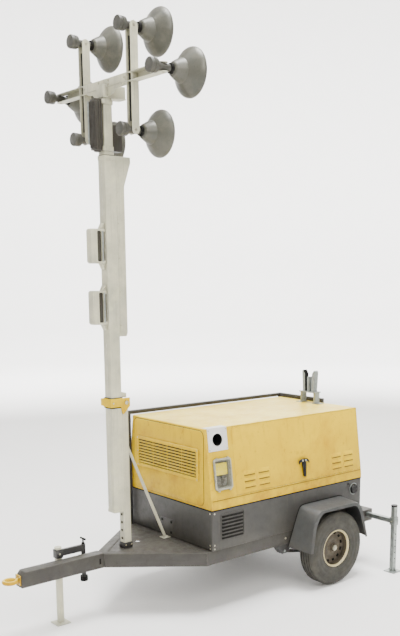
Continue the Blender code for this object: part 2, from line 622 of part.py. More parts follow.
def mast_fittings(tilt, top_slide):
    rear = MAST_X + MAST_SIZES[0] / 2 + GAP
    front = MAST_X - MAST_SIZES[0] / 2 - GAP
    duct = [(rear, 2.100), (-0.592, 2.100), (-0.580, 2.130), (-0.580, 3.160), (-0.526, 3.320),
            (-0.526, 3.364), (rear, 3.364)]
    part("cable_duct", MAST_PAINT, slab([duct], 0.060, standing(0)), pivot=tilt)

    for name, low, high in (("lower", 2.190, 2.430), ("upper", 2.620, 2.860)):
        ring = slab([rectangle((front - 0.120, low), (front, high)),
                     rectangle((front - 0.108, low + 0.026), (front - 0.030, high - 0.026))],
                    0.062, standing(0))
        core = rod((front - 0.052, 0, low + 0.020), (front - 0.052, 0, high - 0.020), 0.026, 16)
        part("cable_hanger_" + name, MAST_PAINT, ring, [core], pivot=tilt)

    inside, outside = MAST_SIZES[0] / 2 + GAP, 0.052
    low, high, end = 1.585, 1.650, TILT_X + 0.034
    band = box((MAST_X - outside, -outside, low), (end, outside, high))
    hollow = box((MAST_X - inside, -inside, low - 0.1), (end + 0.1, inside, high + 0.1))
    pin = rod((TILT_X, -0.058, TILT_Z), (TILT_X, 0.058, TILT_Z), TILT_PIN_R, 16)
    tail = slab([[(-0.672, 1.590), (-0.655, 1.532), (-0.645, 1.532), (end, 1.590)]],
                outside - inside, standing(-(inside + outside) / 2))
    lug = box((MAST_X - outside, outside - 0.002, low + 0.006), (MAST_X - 0.004, 0.090, high - 0.006))
    part("pivot_collar", YELLOW_PAINT, band, [tail, lug], [hollow], [pin], pivot=tilt)

    inner = MAST_SIZES[2] / 2 + GAP
    box_rear = MAST_X - inner - 0.010
    case = box((box_rear - 0.055, -0.036, 3.392), (box_rear, 0.036, 3.729))
    joins = []
    for z in (3.392, 3.700):
        ring = [rectangle((MAST_X - inner - 0.012, -inner - 0.004), (MAST_X + inner + 0.004, inner + 0.004)),
                rectangle((MAST_X - inner, -inner), (MAST_X + inner, inner))]
        joins.append(slab(ring, 0.028, plan(z + 0.014)))
    joins.append(box((MAST_X + inner, -0.030, 3.394), (-0.590, 0.030, 3.570)))
    part("junction_box", RIM_PAINT, case, joins, pivot=top_slide)


# Lamps

def channel(place, half_length, wall_half):
    """A channel along X that opens towards -Y, with its flanges facing Z and its ends round."""
    half = CHANNEL / 2
    line = stadium((-half_length, 0.0), (half_length, 0.0), half)
    flanges = [
        slab([line], CHANNEL_WALL, place @ plan(side * (half - 0.002))) for side in (-1, 1)
    ]
    web = box((-wall_half, half - CHANNEL_WALL, -half), (wall_half, half, half), place)
    return [web] + flanges


def lamp_frame(top_slide):
    upright = Matrix(((0, 1, 0, LAMP_PIVOT_X), (0, 0, -1, 0), (1, 0, 0, 0), (0, 0, 0, 1)))
    across = Matrix(((0, 1, 0, LAMP_PIVOT_X), (1, 0, 0, 0), (0, 0, 1, 0), (0, 0, 0, 1)))
    across = Matrix.Translation((0, 0, CROSS_Z)) @ across
    middle, half = (LAMP_TOP_Z + LAMP_LOW_Z) / 2, (LAMP_TOP_Z - LAMP_LOW_Z) / 2
    pieces = channel(across, CROSS_Y, CROSS_Y - 0.055)
    cuts = []
    for side in (-1, 1):
        place = Matrix.Translation((0, side * BAR_Y, middle)) @ upright
        pieces += channel(place, half, half - 0.055)
        for z in (LAMP_LOW_Z, LAMP_TOP_Z):
            start, end = side * BAR_Y - 0.05, side * BAR_Y + 0.05
            cuts.append(rod((LAMP_PIVOT_X, start, z), (LAMP_PIVOT_X, end, z), 0.007, 8))
        pin = (LAMP_PIVOT_X, side * CROSS_Y)
        cuts.append(rod((*pin, CROSS_Z - 0.05), (*pin, CROSS_Z + 0.05), 0.007, 8))
    pieces.append(box((LAMP_PIVOT_X - 0.036, -0.268, CROSS_Z - 0.027),
                      (LAMP_PIVOT_X + 0.027, 0.268, CROSS_Z + 0.027)))
    head = box((-0.742, -0.040, MAST_TOPS[2] + GAP), (-0.560, 0.040, 3.830))
    part("lamp_frame", MAST_PAINT, head, pieces, cuts, pivot=top_slide)


def lamp(name, y, z, pin_axis, top_slide):
    """One floodlight that faces the rear, on a pin across its neck."""
    centre = pivot("lamp_pivot_" + name, (LAMP_PIVOT_X, y, z), top_slide)
    place = Matrix.Translation((LAMP_PIVOT_X, y, z)) @ Matrix.Rotation(math.pi / 2, 4, "Y")
    body_line = [
        (0.0, LAMP_NECK_END), (LAMP_NECK_R, LAMP_NECK_END), (LAMP_NECK_R, -0.056), (0.045, -0.060),
        (0.047, -0.110), (0.040, -0.116), (0.0, -0.116),
    ]
    reach = Vector(pin_axis) * 0.034
    at = Vector((LAMP_PIVOT_X, y, z))
    pin = rod(at - reach, at + reach, 0.006, 8)
    part("lamp_holder_" + name, LAMP_PAINT, turned(body_line, 14, place), [pin], pivot=centre)
    back = LAMP_NECK_END + GAP
    bell_line = [
        (0.0, back + 0.004), (0.044, back + 0.004), (0.079, 0.152), (0.109, 0.186),
        (0.1505, LAMP_RIM - 0.012), (0.155, LAMP_RIM), (LAMP_RIM_R, LAMP_RIM),
        (LAMP_RIM_R, LAMP_RIM - 0.012), (0.112, 0.182), (0.082, 0.148), (0.047, back), (0.0, back),
    ]
    bell = turned(bell_line, LAMP_STEPS, place)
    part("lamp_bell_" + name, LAMP_PAINT, bell, pivot=centre)
    lens = turned([(0.0, LAMP_RIM - 0.004), (0.150, LAMP_RIM - 0.004), (0.150, LAMP_RIM - 0.010),
                   (0.0, LAMP_RIM - 0.010)], LAMP_STEPS, place)
    part("lamp_lens_" + name, LENS_GLASS, lens, pivot=centre)


def mast():
    tilt = pivot("mast_tilt", (TILT_X, 0.0, TILT_Z))
    top_slide = mast_sections(tilt)
    mast_fittings(tilt, top_slide)
    lamp_frame(top_slide)
    for side, end in ((-1, "near"), (1, "far")):
        lamp("top_" + end, side * BAR_Y, LAMP_TOP_Z, (0, 1, 0), top_slide)
        lamp("side_" + end, side * CROSS_Y, CROSS_Z, (0, 0, 1), top_slide)
        lamp("low_" + end, side * BAR_Y, LAMP_LOW_Z, (0, 1, 0), top_slide)


chassis()
drawbar()
axle()
wheels()
fender(-1, "near")
fender(1, "far")
outriggers()
prop_stand()
base_box()
cap_and_filler()
canopy()
door()
front_grille()
exhaust()
control_window()
rest_frame()
cradle()
machinery()
mast_post()
mast()
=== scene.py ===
import json
import math

import bmesh
import bpy
from mathutils import Matrix, Vector

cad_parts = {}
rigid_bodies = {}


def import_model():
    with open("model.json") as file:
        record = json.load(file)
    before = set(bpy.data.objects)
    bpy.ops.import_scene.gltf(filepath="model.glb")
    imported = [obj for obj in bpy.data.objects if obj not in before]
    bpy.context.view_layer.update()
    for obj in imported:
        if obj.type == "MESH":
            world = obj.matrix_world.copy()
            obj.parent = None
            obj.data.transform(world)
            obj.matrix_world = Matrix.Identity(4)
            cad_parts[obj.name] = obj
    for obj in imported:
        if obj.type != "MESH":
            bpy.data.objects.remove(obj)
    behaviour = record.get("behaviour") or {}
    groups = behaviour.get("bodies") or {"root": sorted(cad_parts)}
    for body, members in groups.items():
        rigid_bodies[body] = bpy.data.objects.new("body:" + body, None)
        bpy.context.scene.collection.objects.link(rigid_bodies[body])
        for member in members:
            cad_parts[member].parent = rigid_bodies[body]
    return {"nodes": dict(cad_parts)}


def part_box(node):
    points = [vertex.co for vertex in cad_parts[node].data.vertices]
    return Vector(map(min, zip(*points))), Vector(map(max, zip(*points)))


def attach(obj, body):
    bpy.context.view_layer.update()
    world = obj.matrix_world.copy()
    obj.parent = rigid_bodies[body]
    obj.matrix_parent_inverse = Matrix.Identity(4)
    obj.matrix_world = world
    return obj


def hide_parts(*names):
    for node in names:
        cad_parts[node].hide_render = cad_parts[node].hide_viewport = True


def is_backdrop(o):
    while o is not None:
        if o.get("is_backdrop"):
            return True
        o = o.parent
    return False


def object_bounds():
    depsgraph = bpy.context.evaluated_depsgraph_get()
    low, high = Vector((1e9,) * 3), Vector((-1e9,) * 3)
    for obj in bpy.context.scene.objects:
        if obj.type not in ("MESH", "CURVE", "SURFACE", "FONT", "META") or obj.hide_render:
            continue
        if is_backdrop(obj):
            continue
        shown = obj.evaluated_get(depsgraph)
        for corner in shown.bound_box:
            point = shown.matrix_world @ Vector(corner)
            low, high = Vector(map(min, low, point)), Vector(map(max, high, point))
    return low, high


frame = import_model()
nodes = frame["nodes"]
for extra in list(bpy.data.objects):
    if extra.type in {"MESH", "CAMERA", "LIGHT"} and extra.name not in nodes:
        bpy.data.objects.remove(extra, do_unlink=True)  # the startup scene's own objects
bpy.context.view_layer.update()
print("frame loaded:", len(nodes), "nodes")


# Materials

def linear(code):  # sRGB hex to linear
    channels = [int(code[i:i + 2], 16) / 255 for i in (0, 2, 4)]
    return [c / 12.92 if c < 0.04045 else ((c + 0.055) / 1.055) ** 2.4 for c in channels] + [1.0]


def addNode(tree, kind, settings=None, links=None):  # one node, its settings and what feeds it
    node = tree.nodes.new(kind)
    for key, value in (settings or {}).items():
        if isinstance(key, str) and hasattr(node, key):
            setattr(node, key, value)
        else:
            node.inputs[key].default_value = value
    for key, source in (links or {}).items():
        tree.links.new(source, node.inputs[key])
    return node


def surface(name, slotName, look):
    made = bpy.data.materials.new(name)
    made.use_nodes = True
    made["slot"] = slotName
    tree = made.node_tree
    shader = tree.nodes["Principled BSDF"]
    place = addNode(tree, "ShaderNodeTexCoord").outputs["Object"]
    height = addNode(tree, "ShaderNodeSeparateXYZ", links={0: place}).outputs["Z"]
    facing = addNode(tree, "ShaderNodeNewGeometry").outputs["Normal"]

    broad = addNode(tree, "ShaderNodeTexNoise",
                    {"Scale": look.get("broadScale", 2.4), "Detail": 5.0, "Roughness": 0.62}, {"Vector": place})
    drift = addNode(tree, "ShaderNodeMapRange", {"From Min": 0.34, "From Max": 0.68}, {"Value": broad.outputs["Fac"]})
    colour = addNode(tree, "ShaderNodeMix",
                     {"data_type": "RGBA", 6: linear(look["colour"]), 7: linear(look["faded"])},
                     {0: drift.outputs[0]}).outputs[2]
    for layer in look.get("layers", []):  # each lays its colour over the one below, where a noise and a gate allow it
        stretch = addNode(tree, "ShaderNodeMapping", {"Scale": layer.get("stretch", (1, 1, 1))}, {"Vector": place})
        speckle = addNode(tree, "ShaderNodeTexNoise", {"Scale": layer["scale"], "Detail": 6.0, "Roughness": 0.65},
                          {"Vector": stretch.outputs[0]})
        pick = addNode(tree, "ShaderNodeMapRange",
                       {"From Min": layer["start"], "From Max": layer["full"], "To Max": layer["amount"]},
                       {"Value": speckle.outputs["Fac"]}).outputs[0]
        gate = None
        if layer.get("where") == "low":
            gate = addNode(tree, "ShaderNodeMapRange",
                           {"From Min": layer["low"], "From Max": layer["high"], "To Min": 1.0, "To Max": 0.0},
                           {"Value": height}).outputs[0]
        elif layer.get("where") == "top":
            up = addNode(tree, "ShaderNodeSeparateXYZ", links={0: facing}).outputs["Z"]
            gate = addNode(tree, "ShaderNodeMapRange", {"From Min": 0.55, "From Max": 0.92}, {"Value": up}).outputs[0]
        elif layer.get("where") == "edge":
            eased = addNode(tree, "ShaderNodeBevel", {"samples": 4, "Radius": layer["reach"]}).outputs[0]
            turn = addNode(tree, "ShaderNodeVectorMath", {"operation": "DOT_PRODUCT"},
                           {0: eased, 1: facing}).outputs["Value"]
            gate = addNode(tree, "ShaderNodeMapRange", {"From Min": 0.995, "From Max": 0.86},
                           {"Value": turn}).outputs[0]
        # painted shade: where ambient occlusion finds a recess, the layer's darker colour is laid in
        elif layer.get("where") == "recessShade":
            openness = addNode(tree, "ShaderNodeAmbientOcclusion",
                               {"samples": 4, "Distance": layer["reach"]}).outputs["AO"]
            gate = addNode(tree, "ShaderNodeMapRange", {"From Min": 0.92, "From Max": 0.45},
                           {"Value": openness}).outputs[0]
        if gate:
            pick = addNode(tree, "ShaderNodeMath", {"operation": "MULTIPLY", "use_clamp": True},
                           {0: pick, 1: gate}).outputs[0]
        colour = addNode(tree, "ShaderNodeMix", {"data_type": "RGBA", 7: linear(layer["colour"])},
                         {0: pick, 6: colour}).outputs[2]
    tree.links.new(colour, shader.inputs["Base Color"])

    low, high = look["rough"]
    grime = addNode(tree, "ShaderNodeTexNoise", {"Scale": 18.0, "Detail": 6.0, "Roughness": 0.7}, {"Vector": place})
    rough = addNode(tree, "ShaderNodeMapRange", {"From Min": 0.3, "From Max": 0.72, "To Min": low, "To Max": high},
                    {"Value": grime.outputs["Fac"]})
    tree.links.new(rough.outputs[0], shader.inputs["Roughness"])

    if look.get("cells"):  # flat crystals, as on galvanised steel
        relief = addNode(tree, "ShaderNodeTexVoronoi", {"Scale": look["cells"]},
                         {"Vector": place}).outputs["Distance"]
    else:
        relief = addNode(tree, "ShaderNodeTexNoise", {"Scale": look["grain"], "Detail": 3.0},
                         {"Vector": place}).outputs["Fac"]
    fine = addNode(tree, "ShaderNodeBump", {"Strength": look.get("grainStrength", 0.25), "Distance": 0.0004},
                   {"Height": relief})
    dents = addNode(tree, "ShaderNodeTexNoise", {"Scale": 7.0, "Detail": 2.0}, {"Vector": place})
    shape = addNode(tree, "ShaderNodeBump", {"Strength": look.get("dentStrength", 0.3), "Distance": 0.003},
                    {"Height": dents.outputs["Fac"], "Normal": fine.outputs[0]})
    tree.links.new(shape.outputs[0], shader.inputs["Normal"])

    for socket, value in look.get("shader", {}).items():
        shader.inputs[socket].default_value = value
    return made


# A layer gated to recesses darkens them as painted shade.
def patch(colour, scale, start, full, amount, **gate):  # a layer of colour, from where its noise starts to full
    return {"colour": colour, "scale": scale, "start": start, "full": full, "amount": amount, **gate}


# Scales are in waves to the metre. Orange peel is really about 1 mm and moulded pebble 0.2 mm, so every grain here,
# from 260 (3.8 mm) to 900 (1.1 mm), is drawn coarser than real, so that it shows.

# Polyester powder coat on folded sheet: a satin yellow that dust and rust runs turn orange-brown low down.
yellowPowderCoat = surface("yellowPowderCoat", "yellow_paint", {
    "colour": "CCA600", "faded": "D8B404", "rough": (0.34, 0.58), "grain": 420.0, "grainStrength": 0.12,
    "dentStrength": 0.35,
    "shader": {"IOR": 1.5, "Specular IOR Level": 0.15},
    "layers": [
        patch("AC7D0A", 3.2, 0.5, 0.72, 0.55),
        patch("976B18", 26.0, 0.58, 0.74, 0.55),
        patch("9E6D0C", 2.2, 0.56, 0.74, 0.4, stretch=(9, 9, 1)),
        patch("584322", 110.0, 0.66, 0.74, 0.75),
        patch("966717", 9.0, 0.36, 0.62, 0.62, where="low", low=0.8, high=1.02),
        # painted shade in recesses
        patch("654A21", 20.0, 0.35, 0.6, 0.55, where="recessShade", reach=0.03),
        patch("F0DC6A", 3.0, 0.25, 0.6, 0.72, where="top"),
        patch("E0C45A", 60.0, 0.5, 0.66, 0.6, where="edge", reach=0.006),
    ],
})
# Two-pack enamel brushed on rolled steel: a warm dark grey, chalky, with pale dust on top and rubbed edges.
frameEnamel = surface("frameEnamel", "frame_paint", {
    "colour": "2E2B27", "faded": "36332E", "rough": (0.42, 0.72), "grain": 300.0, "grainStrength": 0.22,
    "layers": [
        patch("3F3D32", 6.0, 0.48, 0.7, 0.5),
        patch("201D19", 70.0, 0.58, 0.7, 0.5),
        patch("4C4A42", 5.0, 0.35, 0.62, 0.45, where="top"),
        # painted shade in recesses
        patch("1D1A17", 14.0, 0.35, 0.6, 0.6, where="recessShade", reach=0.05),
        patch("656052", 40.0, 0.42, 0.6, 0.65, where="edge", reach=0.006),
    ],
})
baseEnamel = surface("baseEnamel", "base_paint", {  # the same enamel on the tub, smoother and a shade darker
    "colour": "292825", "faded": "312F2C", "rough": (0.36, 0.62), "grain": 380.0, "grainStrength": 0.12,
    "dentStrength": 0.3,
    "layers": [
        patch("383630", 3.5, 0.46, 0.7, 0.5),
        patch("403D33", 2.4, 0.55, 0.75, 0.4, stretch=(8, 8, 1)),
        patch("1E1B18", 90.0, 0.62, 0.72, 0.5),
        patch("413E34", 8.0, 0.34, 0.6, 0.5, where="low", low=0.49, high=0.66),
        # painted shade in recesses
        patch("1B1A16", 14.0, 0.35, 0.6, 0.5, where="recessShade", reach=0.03),
        patch("4C4A41", 40.0, 0.42, 0.6, 0.6, where="edge", reach=0.005),
    ],
})
# Rotationally moulded polyethylene: dull, faintly pebbled, scuffed paler where it is touched.
fenderPolyethylene = surface("fenderPolyethylene", "fender_plastic", {
    "colour": "2F3030", "faded": "363736", "rough": (0.5, 0.72), "grain": 520.0, "grainStrength": 0.3,
    "dentStrength": 0.2,
    "shader": {"IOR": 1.5},
    "layers": [
        patch("3A3934", 5.0, 0.46, 0.68, 0.45),
        patch("262523", 50.0, 0.56, 0.7, 0.35),
        patch("444544", 4.0, 0.3, 0.6, 0.35, where="top"),
        patch("3B372E", 12.0, 0.36, 0.6, 0.6, where="low", low=0.34, high=0.52),
        patch("4D4D4C", 30.0, 0.4, 0.6, 0.4, where="edge", reach=0.006),
    ],
})
# Grey enamel over galvanised tube: pale, almost cream where the sun has aged it, with fine dark runs.
mastEnamel = surface("mastEnamel", "mast_paint", {
    "colour": "A5A390", "faded": "CBC7AB", "rough": (0.34, 0.6), "grain": 420.0, "grainStrength": 0.1,
    "dentStrength": 0.15,
    "layers": [
        patch("8B8B79", 4.0, 0.46, 0.7, 0.5),
        patch("737267", 3.0, 0.54, 0.72, 0.5, stretch=(22, 22, 1)),
        patch("DCDCAE", 9.0, 0.54, 0.72, 0.3),
        patch("5A584F", 90.0, 0.64, 0.74, 0.5),
        # painted shade in recesses
        patch("525048", 12.0, 0.35, 0.6, 0.5, where="recessShade", reach=0.025),
        patch("DCDCDC", 40.0, 0.42, 0.62, 0.6, where="edge", reach=0.004),
    ],
})
# Hot-dip galvanised steel: soft metallic grey. Its crystals are drawn 12 mm wide, a little coarser than real.
galvanisedSteel = surface("galvanisedSteel", "zinc", {
    "colour": "8A8F8B", "faded": "AAB1AD", "rough": (0.34, 0.58), "cells": 85.0, "grainStrength": 0.12,
    "broadScale": 30.0,
    "shader": {"Metallic": 0.85},
    "layers": [
        patch("6D6F69", 9.0, 0.5, 0.7, 0.5),
        patch("56534B", 60.0, 0.6, 0.72, 0.5),
        # painted shade in recesses
        patch("4B4943", 14.0, 0.35, 0.6, 0.5, where="recessShade", reach=0.02),
    ],
})
# Bead-blasted aluminium sheet: pale, dull and finely speckled.
blastedAluminium = surface("blastedAluminium", "zinc", {
    "colour": "D6D3CE", "faded": "E0DDD8", "rough": (0.45, 0.62), "grain": 700.0, "grainStrength": 0.2,
    "dentStrength": 0.05,
    "shader": {"Metallic": 0.25},
    "layers": [
        patch("A9A6A2", 160.0, 0.5, 0.66, 0.5),
        patch("BDB9AE", 24.0, 0.5, 0.7, 0.35),
    ],
})
# Zinc-plated fasteners: brighter and smoother than the galvanised tube.
platedSteel = surface("platedSteel", "zinc", {
    "colour": "8F8D7F", "faded": "C4C0A9", "rough": (0.22, 0.4), "grain": 900.0, "grainStrength": 0.05,
    "dentStrength": 0.0,
    "shader": {"Metallic": 1.0},
    "layers": [patch("4C483E", 80.0, 0.55, 0.7, 0.6)],
})
darkEnamel = surface("darkEnamel", "dark_paint", {  # the hoop, the axle and the prop arm: near black, dusty
    "colour": "21201F", "faded": "292827", "rough": (0.36, 0.62), "grain": 340.0, "grainStrength": 0.15,
    "layers": [
        patch("34322D", 8.0, 0.48, 0.7, 0.5),
        patch("43413B", 6.0, 0.35, 0.62, 0.4, where="top"),
        patch("524F4A", 40.0, 0.42, 0.6, 0.6, where="edge", reach=0.004),
    ],
})
# Vulcanised rubber: dull, brown-grey with road dust, its grooves darkened with painted shade.
tyreRubber = surface("tyreRubber", "tyre_rubber", {
    "colour": "292824", "faded": "32312A", "rough": (0.68, 0.9), "grain": 700.0, "grainStrength": 0.35,
    "dentStrength": 0.0,
    "shader": {"IOR": 1.52},
    "layers": [
        patch("3E3A31", 12.0, 0.44, 0.66, 0.6),
        patch("484438", 60.0, 0.55, 0.7, 0.45),
        # painted shade in the grooves
        patch("161613", 30.0, 0.3, 0.55, 0.85, where="recessShade", reach=0.012),
        patch("4A473D", 40.0, 0.4, 0.6, 0.4, where="edge", reach=0.003),
    ],
})
rimEnamel = surface("rimEnamel", "rim_paint", {  # pressed steel disc: brown with brake dust and rust
    "colour": "3C352A", "faded": "484135", "rough": (0.42, 0.7), "grain": 500.0, "grainStrength": 0.2,
    "dentStrength": 0.0,
    "shader": {"Metallic": 0.2},
    "layers": [
        patch("5C533F", 20.0, 0.46, 0.66, 0.6),
        patch("292219", 90.0, 0.56, 0.68, 0.6),
        # painted shade in recesses
        patch("1F1912", 30.0, 0.3, 0.55, 0.7, where="recessShade", reach=0.02),
        patch("776B4F", 40.0, 0.42, 0.6, 0.5, where="edge", reach=0.003),
    ],
})
creamEnamel = surface("creamEnamel", "rim_paint", {  # the rim's bare band, rubbed pale by the tyre's edge
    "colour": "A19671", "faded": "D7C78F", "rough": (0.34, 0.6), "grain": 500.0, "grainStrength": 0.15,
    "dentStrength": 0.0,
    "layers": [patch("615946", 60.0, 0.5, 0.66, 0.6)],
})
# Stove enamel on a spun bell: warm grey-green, chalked on top.
lampEnamel = surface("lampEnamel", "lamp_paint", {
    "colour": "474740", "faded": "56554B", "rough": (0.32, 0.55), "grain": 500.0, "grainStrength": 0.1,
    "dentStrength": 0.0,
    "broadScale": 5.0, "shader": {"Metallic": 0.25},
    "layers": [
        patch("636052", 14.0, 0.46, 0.68, 0.5),
        patch("36352E", 70.0, 0.58, 0.7, 0.45),
        # painted shade in recesses
        patch("34322C", 12.0, 0.3, 0.6, 0.6, where="recessShade", reach=0.03),
        patch("7A7867", 30.0, 0.42, 0.6, 0.5, where="edge", reach=0.003),
    ],
})
holderEnamel = surface("holderEnamel", "lamp_paint", {  # the cast socket: the same enamel, less faded
    "colour": "35342D", "faded": "45443D", "rough": (0.36, 0.6), "grain": 380.0, "grainStrength": 0.2,
    "dentStrength": 0.0,
    "layers": [
        patch("24221D", 30.0, 0.5, 0.7, 0.5),
        # painted shade in recesses
        patch("171513", 12.0, 0.3, 0.6, 0.7, where="recessShade", reach=0.02),
        patch("6C695C", 30.0, 0.42, 0.6, 0.6, where="edge", reach=0.003),
    ],
})
bronzeEnamel = surface("bronzeEnamel", "rim_paint", {  # the ribbed terminal case: olive brown, streaked
    "colour": "27231D", "faded": "2E2B22", "rough": (0.36, 0.6), "grain": 420.0, "grainStrength": 0.15,
    "dentStrength": 0.1,
    "layers": [
        patch("3A352A", 4.0, 0.5, 0.7, 0.5, stretch=(14, 14, 1)),
        patch("534C3B", 30.0, 0.42, 0.6, 0.5, where="edge", reach=0.003),
    ],
})
blackNylon = surface("blackNylon", "black_plastic", {  # glass-filled nylon, moulded: black with a grey bloom
    "colour": "09090A", "faded": "0F0F0F", "rough": (0.34, 0.55), "grain": 600.0, "grainStrength": 0.2,
    "dentStrength": 0.0,
    "shader": {"IOR": 1.53, "Specular IOR Level": 0.3},
    "layers": [
        patch("1D1C1A", 30.0, 0.5, 0.7, 0.4),
        patch("272724", 40.0, 0.42, 0.6, 0.5, where="edge", reach=0.002),
    ],
})
sealRubberAndShade = surface("sealRubberAndShade", "black_plastic", {  # extruded EPDM: matt black, dusty; also laid as painted shade in vent slots, slots and holes
    "colour": "0C0C0A", "faded": "12110F", "rough": (0.66, 0.85), "grain": 500.0, "grainStrength": 0.2,
    "dentStrength": 0.0, "shader": {"IOR": 1.5, "Specular IOR Level": 0.15},
    "layers": [patch("22201B", 40.0, 0.5, 0.7, 0.5)],
})
# Painted shade: a dark orange-brown laid in seams, slots and behind the grille, where shade falls.
gapShadow = surface("gapShadow", "yellow_paint", {
    "colour": "2D200C", "faded": "38280F", "rough": (0.7, 0.9), "grain": 300.0, "grainStrength": 0.2,
    "dentStrength": 0.0,
    "layers": [patch("513813", 40.0, 0.5, 0.7, 0.5)],
})
greyAbs = surface("greyAbs", "grey_plastic", {  # injection-moulded ABS: pale warm grey, semi-gloss, with a painted highlight along its edges
    "colour": "888777", "faded": "A6A48E", "rough": (0.26, 0.45), "grain": 800.0, "grainStrength": 0.08,
    "dentStrength": 0.0,
    "shader": {"IOR": 1.53},
    "layers": [
        patch("625E50", 40.0, 0.5, 0.68, 0.5),
        # painted shade in recesses
        patch("444037", 20.0, 0.3, 0.6, 0.6, where="recessShade", reach=0.012),
        # near-white edges: painted highlight
        patch("EFEFEF", 30.0, 0.42, 0.6, 0.6, where="edge", reach=0.002),
    ],
})
breakerAbsShaded = surface("breakerAbsShaded", "grey_plastic", {  # the same plastic, painted darker as the shade behind the lid
    "colour": "525043", "faded": "5E5C4B", "rough": (0.3, 0.5), "grain": 800.0, "grainStrength": 0.08,
    "dentStrength": 0.0,
    # painted shade in recesses
    "layers": [patch("333228", 20.0, 0.3, 0.6, 0.7, where="recessShade", reach=0.012)],
})
labelVinyl = surface("labelVinyl", "yellow_paint", {  # plain calendered vinyl film: clean, brighter yellow
    "colour": "E8D200", "faded": "E0C800", "rough": (0.3, 0.42), "grain": 900.0, "grainStrength": 0.04,
    "dentStrength": 0.0,
    "layers": [patch("9A860A", 60.0, 0.56, 0.7, 0.35)],
})
# Moulded lid: clear with a warm haze and fine scratches.
clearPolycarbonate = surface("clearPolycarbonate", "clear_plastic", {
    "colour": "8E8C80", "faded": "7E7C70", "rough": (0.06, 0.2), "grain": 900.0, "grainStrength": 0.03,
    "dentStrength": 0.05,
    "shader": {"IOR": 1.585, "Transmission Weight": 0.3, "Alpha": 0.08},
})
toughenedGlass = surface("toughenedGlass", "lens_glass", {  # lamp glass: clear, slightly dusty
    "colour": "E9EEEE", "faded": "DDE3E3", "rough": (0.03, 0.14), "grain": 900.0, "grainStrength": 0.02,
    "dentStrength": 0.03,
    "shader": {"IOR": 1.52, "Transmission Weight": 1.0},
})
# Anodised, hammered aluminium: the bright bowl inside a lamp.
anodisedReflector = surface("anodisedReflector", "lamp_paint", {
    "colour": "CFCFCB", "faded": "DCDCD8", "rough": (0.12, 0.26), "cells": 120.0, "grainStrength": 0.2,
    "dentStrength": 0.0,
    "shader": {"Metallic": 1.0},
})
castIron = surface("castIron", "iron", {  # painted sand casting: rough skin, oily grey-green
    "colour": "2A2C2D", "faded": "343536", "rough": (0.4, 0.66), "grain": 260.0, "grainStrength": 0.5,
    "dentStrength": 0.2,
    "shader": {"Metallic": 0.3},
    "layers": [
        patch("1D1B17", 14.0, 0.48, 0.68, 0.5),
        patch("50514F", 40.0, 0.42, 0.6, 0.5, where="edge", reach=0.004),
    ],
})
print("materials made:", len(bpy.data.materials))


# Solids: each function returns a bmesh, placed in the row frame

def moved(work, place):
    bmesh.ops.transform(work, matrix=place, verts=work.verts)
    return work


def block(low, high, rounding=0.002, place=Matrix(), segments=2):
    low, high = Vector(low), Vector(high)
    work = bmesh.new()
    bmesh.ops.create_cube(work, size=1.0)
    bmesh.ops.scale(work, vec=high - low, verts=work.verts)
    bmesh.ops.translate(work, vec=(low + high) / 2, verts=work.verts)
    if rounding:
        bmesh.ops.bevel(work, geom=list(work.edges), offset=rounding, segments=segments, profile=0.5, affect="EDGES")
    return moved(work, place)


def turned(profile, steps=48, place=Matrix(), closed=False):  # (radius, height) points turned about Z
    work = bmesh.new()
    rings = []
    for radius, height in profile:
        if radius < 1e-6:
            rings.append([work.verts.new((0, 0, height))])
        else:
            turns = [2 * math.pi * i / steps for i in range(steps)]
            rings.append([work.verts.new((radius * math.cos(t), radius * math.sin(t), height)) for t in turns])
    pairs = list(zip(rings, rings[1:])) + ([(rings[-1], rings[0])] if closed else [])
    for a, b in pairs:
        for i in range(steps):
            j = i + 1
            corners = [a[i % len(a)], a[j % len(a)], b[j % len(b)], b[i % len(b)]]
            corners = list(dict.fromkeys(corners))
            if len(corners) > 2:
                work.faces.new(corners)
    bmesh.ops.recalc_face_normals(work, faces=work.faces)
    return moved(work, place)


def between(start, end):  # stands Z on the line between two points
    start, end = Vector(start), Vector(end)
    return Matrix.Translation(start) @ (end - start).to_track_quat("Z", "Y").to_matrix().to_4x4()


def rod(start, end, radius, sides=24, rounding=0.001):
    length = (Vector(end) - Vector(start)).length
    r = min(rounding, radius / 2, length / 3)
    profile = [(0, 0), (radius - r, 0), (radius, r), (radius, length - r), (radius - r, length), (0, length)]
    return turned(profile, sides, between(start, end))


def slab(outlines, thickness, rounding=0.0, place=Matrix()):  # a flat outline with holes, thick along Z both ways
    curve = bpy.data.curves.new("outline", "CURVE")
    curve.dimensions = "2D"
    curve.fill_mode = "BOTH"
    curve.extrude = thickness / 2 - rounding
    curve.bevel_depth = rounding
    curve.bevel_resolution = 1
    curve.offset = -rounding
    for outline in outlines:
        spline = curve.splines.new("POLY")
        spline.points.add(len(outline) - 1)
        for point, (x, y) in zip(spline.points, outline):
            point.co = (x, y, 0.0, 1.0)
        spline.use_cyclic_u = True
    drawn = bpy.data.objects.new("outline", curve)
    bpy.context.scene.collection.objects.link(drawn)
    graph = bpy.context.evaluated_depsgraph_get()
    mesh = bpy.data.meshes.new_from_object(drawn.evaluated_get(graph))
    bpy.data.objects.remove(drawn)
    work = bmesh.new()
    work.from_mesh(mesh)
    bpy.data.meshes.remove(mesh)
    bmesh.ops.remove_doubles(work, verts=work.verts, dist=0.00001)
    bmesh.ops.recalc_face_normals(work, faces=work.faces)
    bmesh.ops.dissolve_limit(work, angle_limit=math.radians(0.2), verts=work.verts, edges=work.edges)
    return moved(work, place)


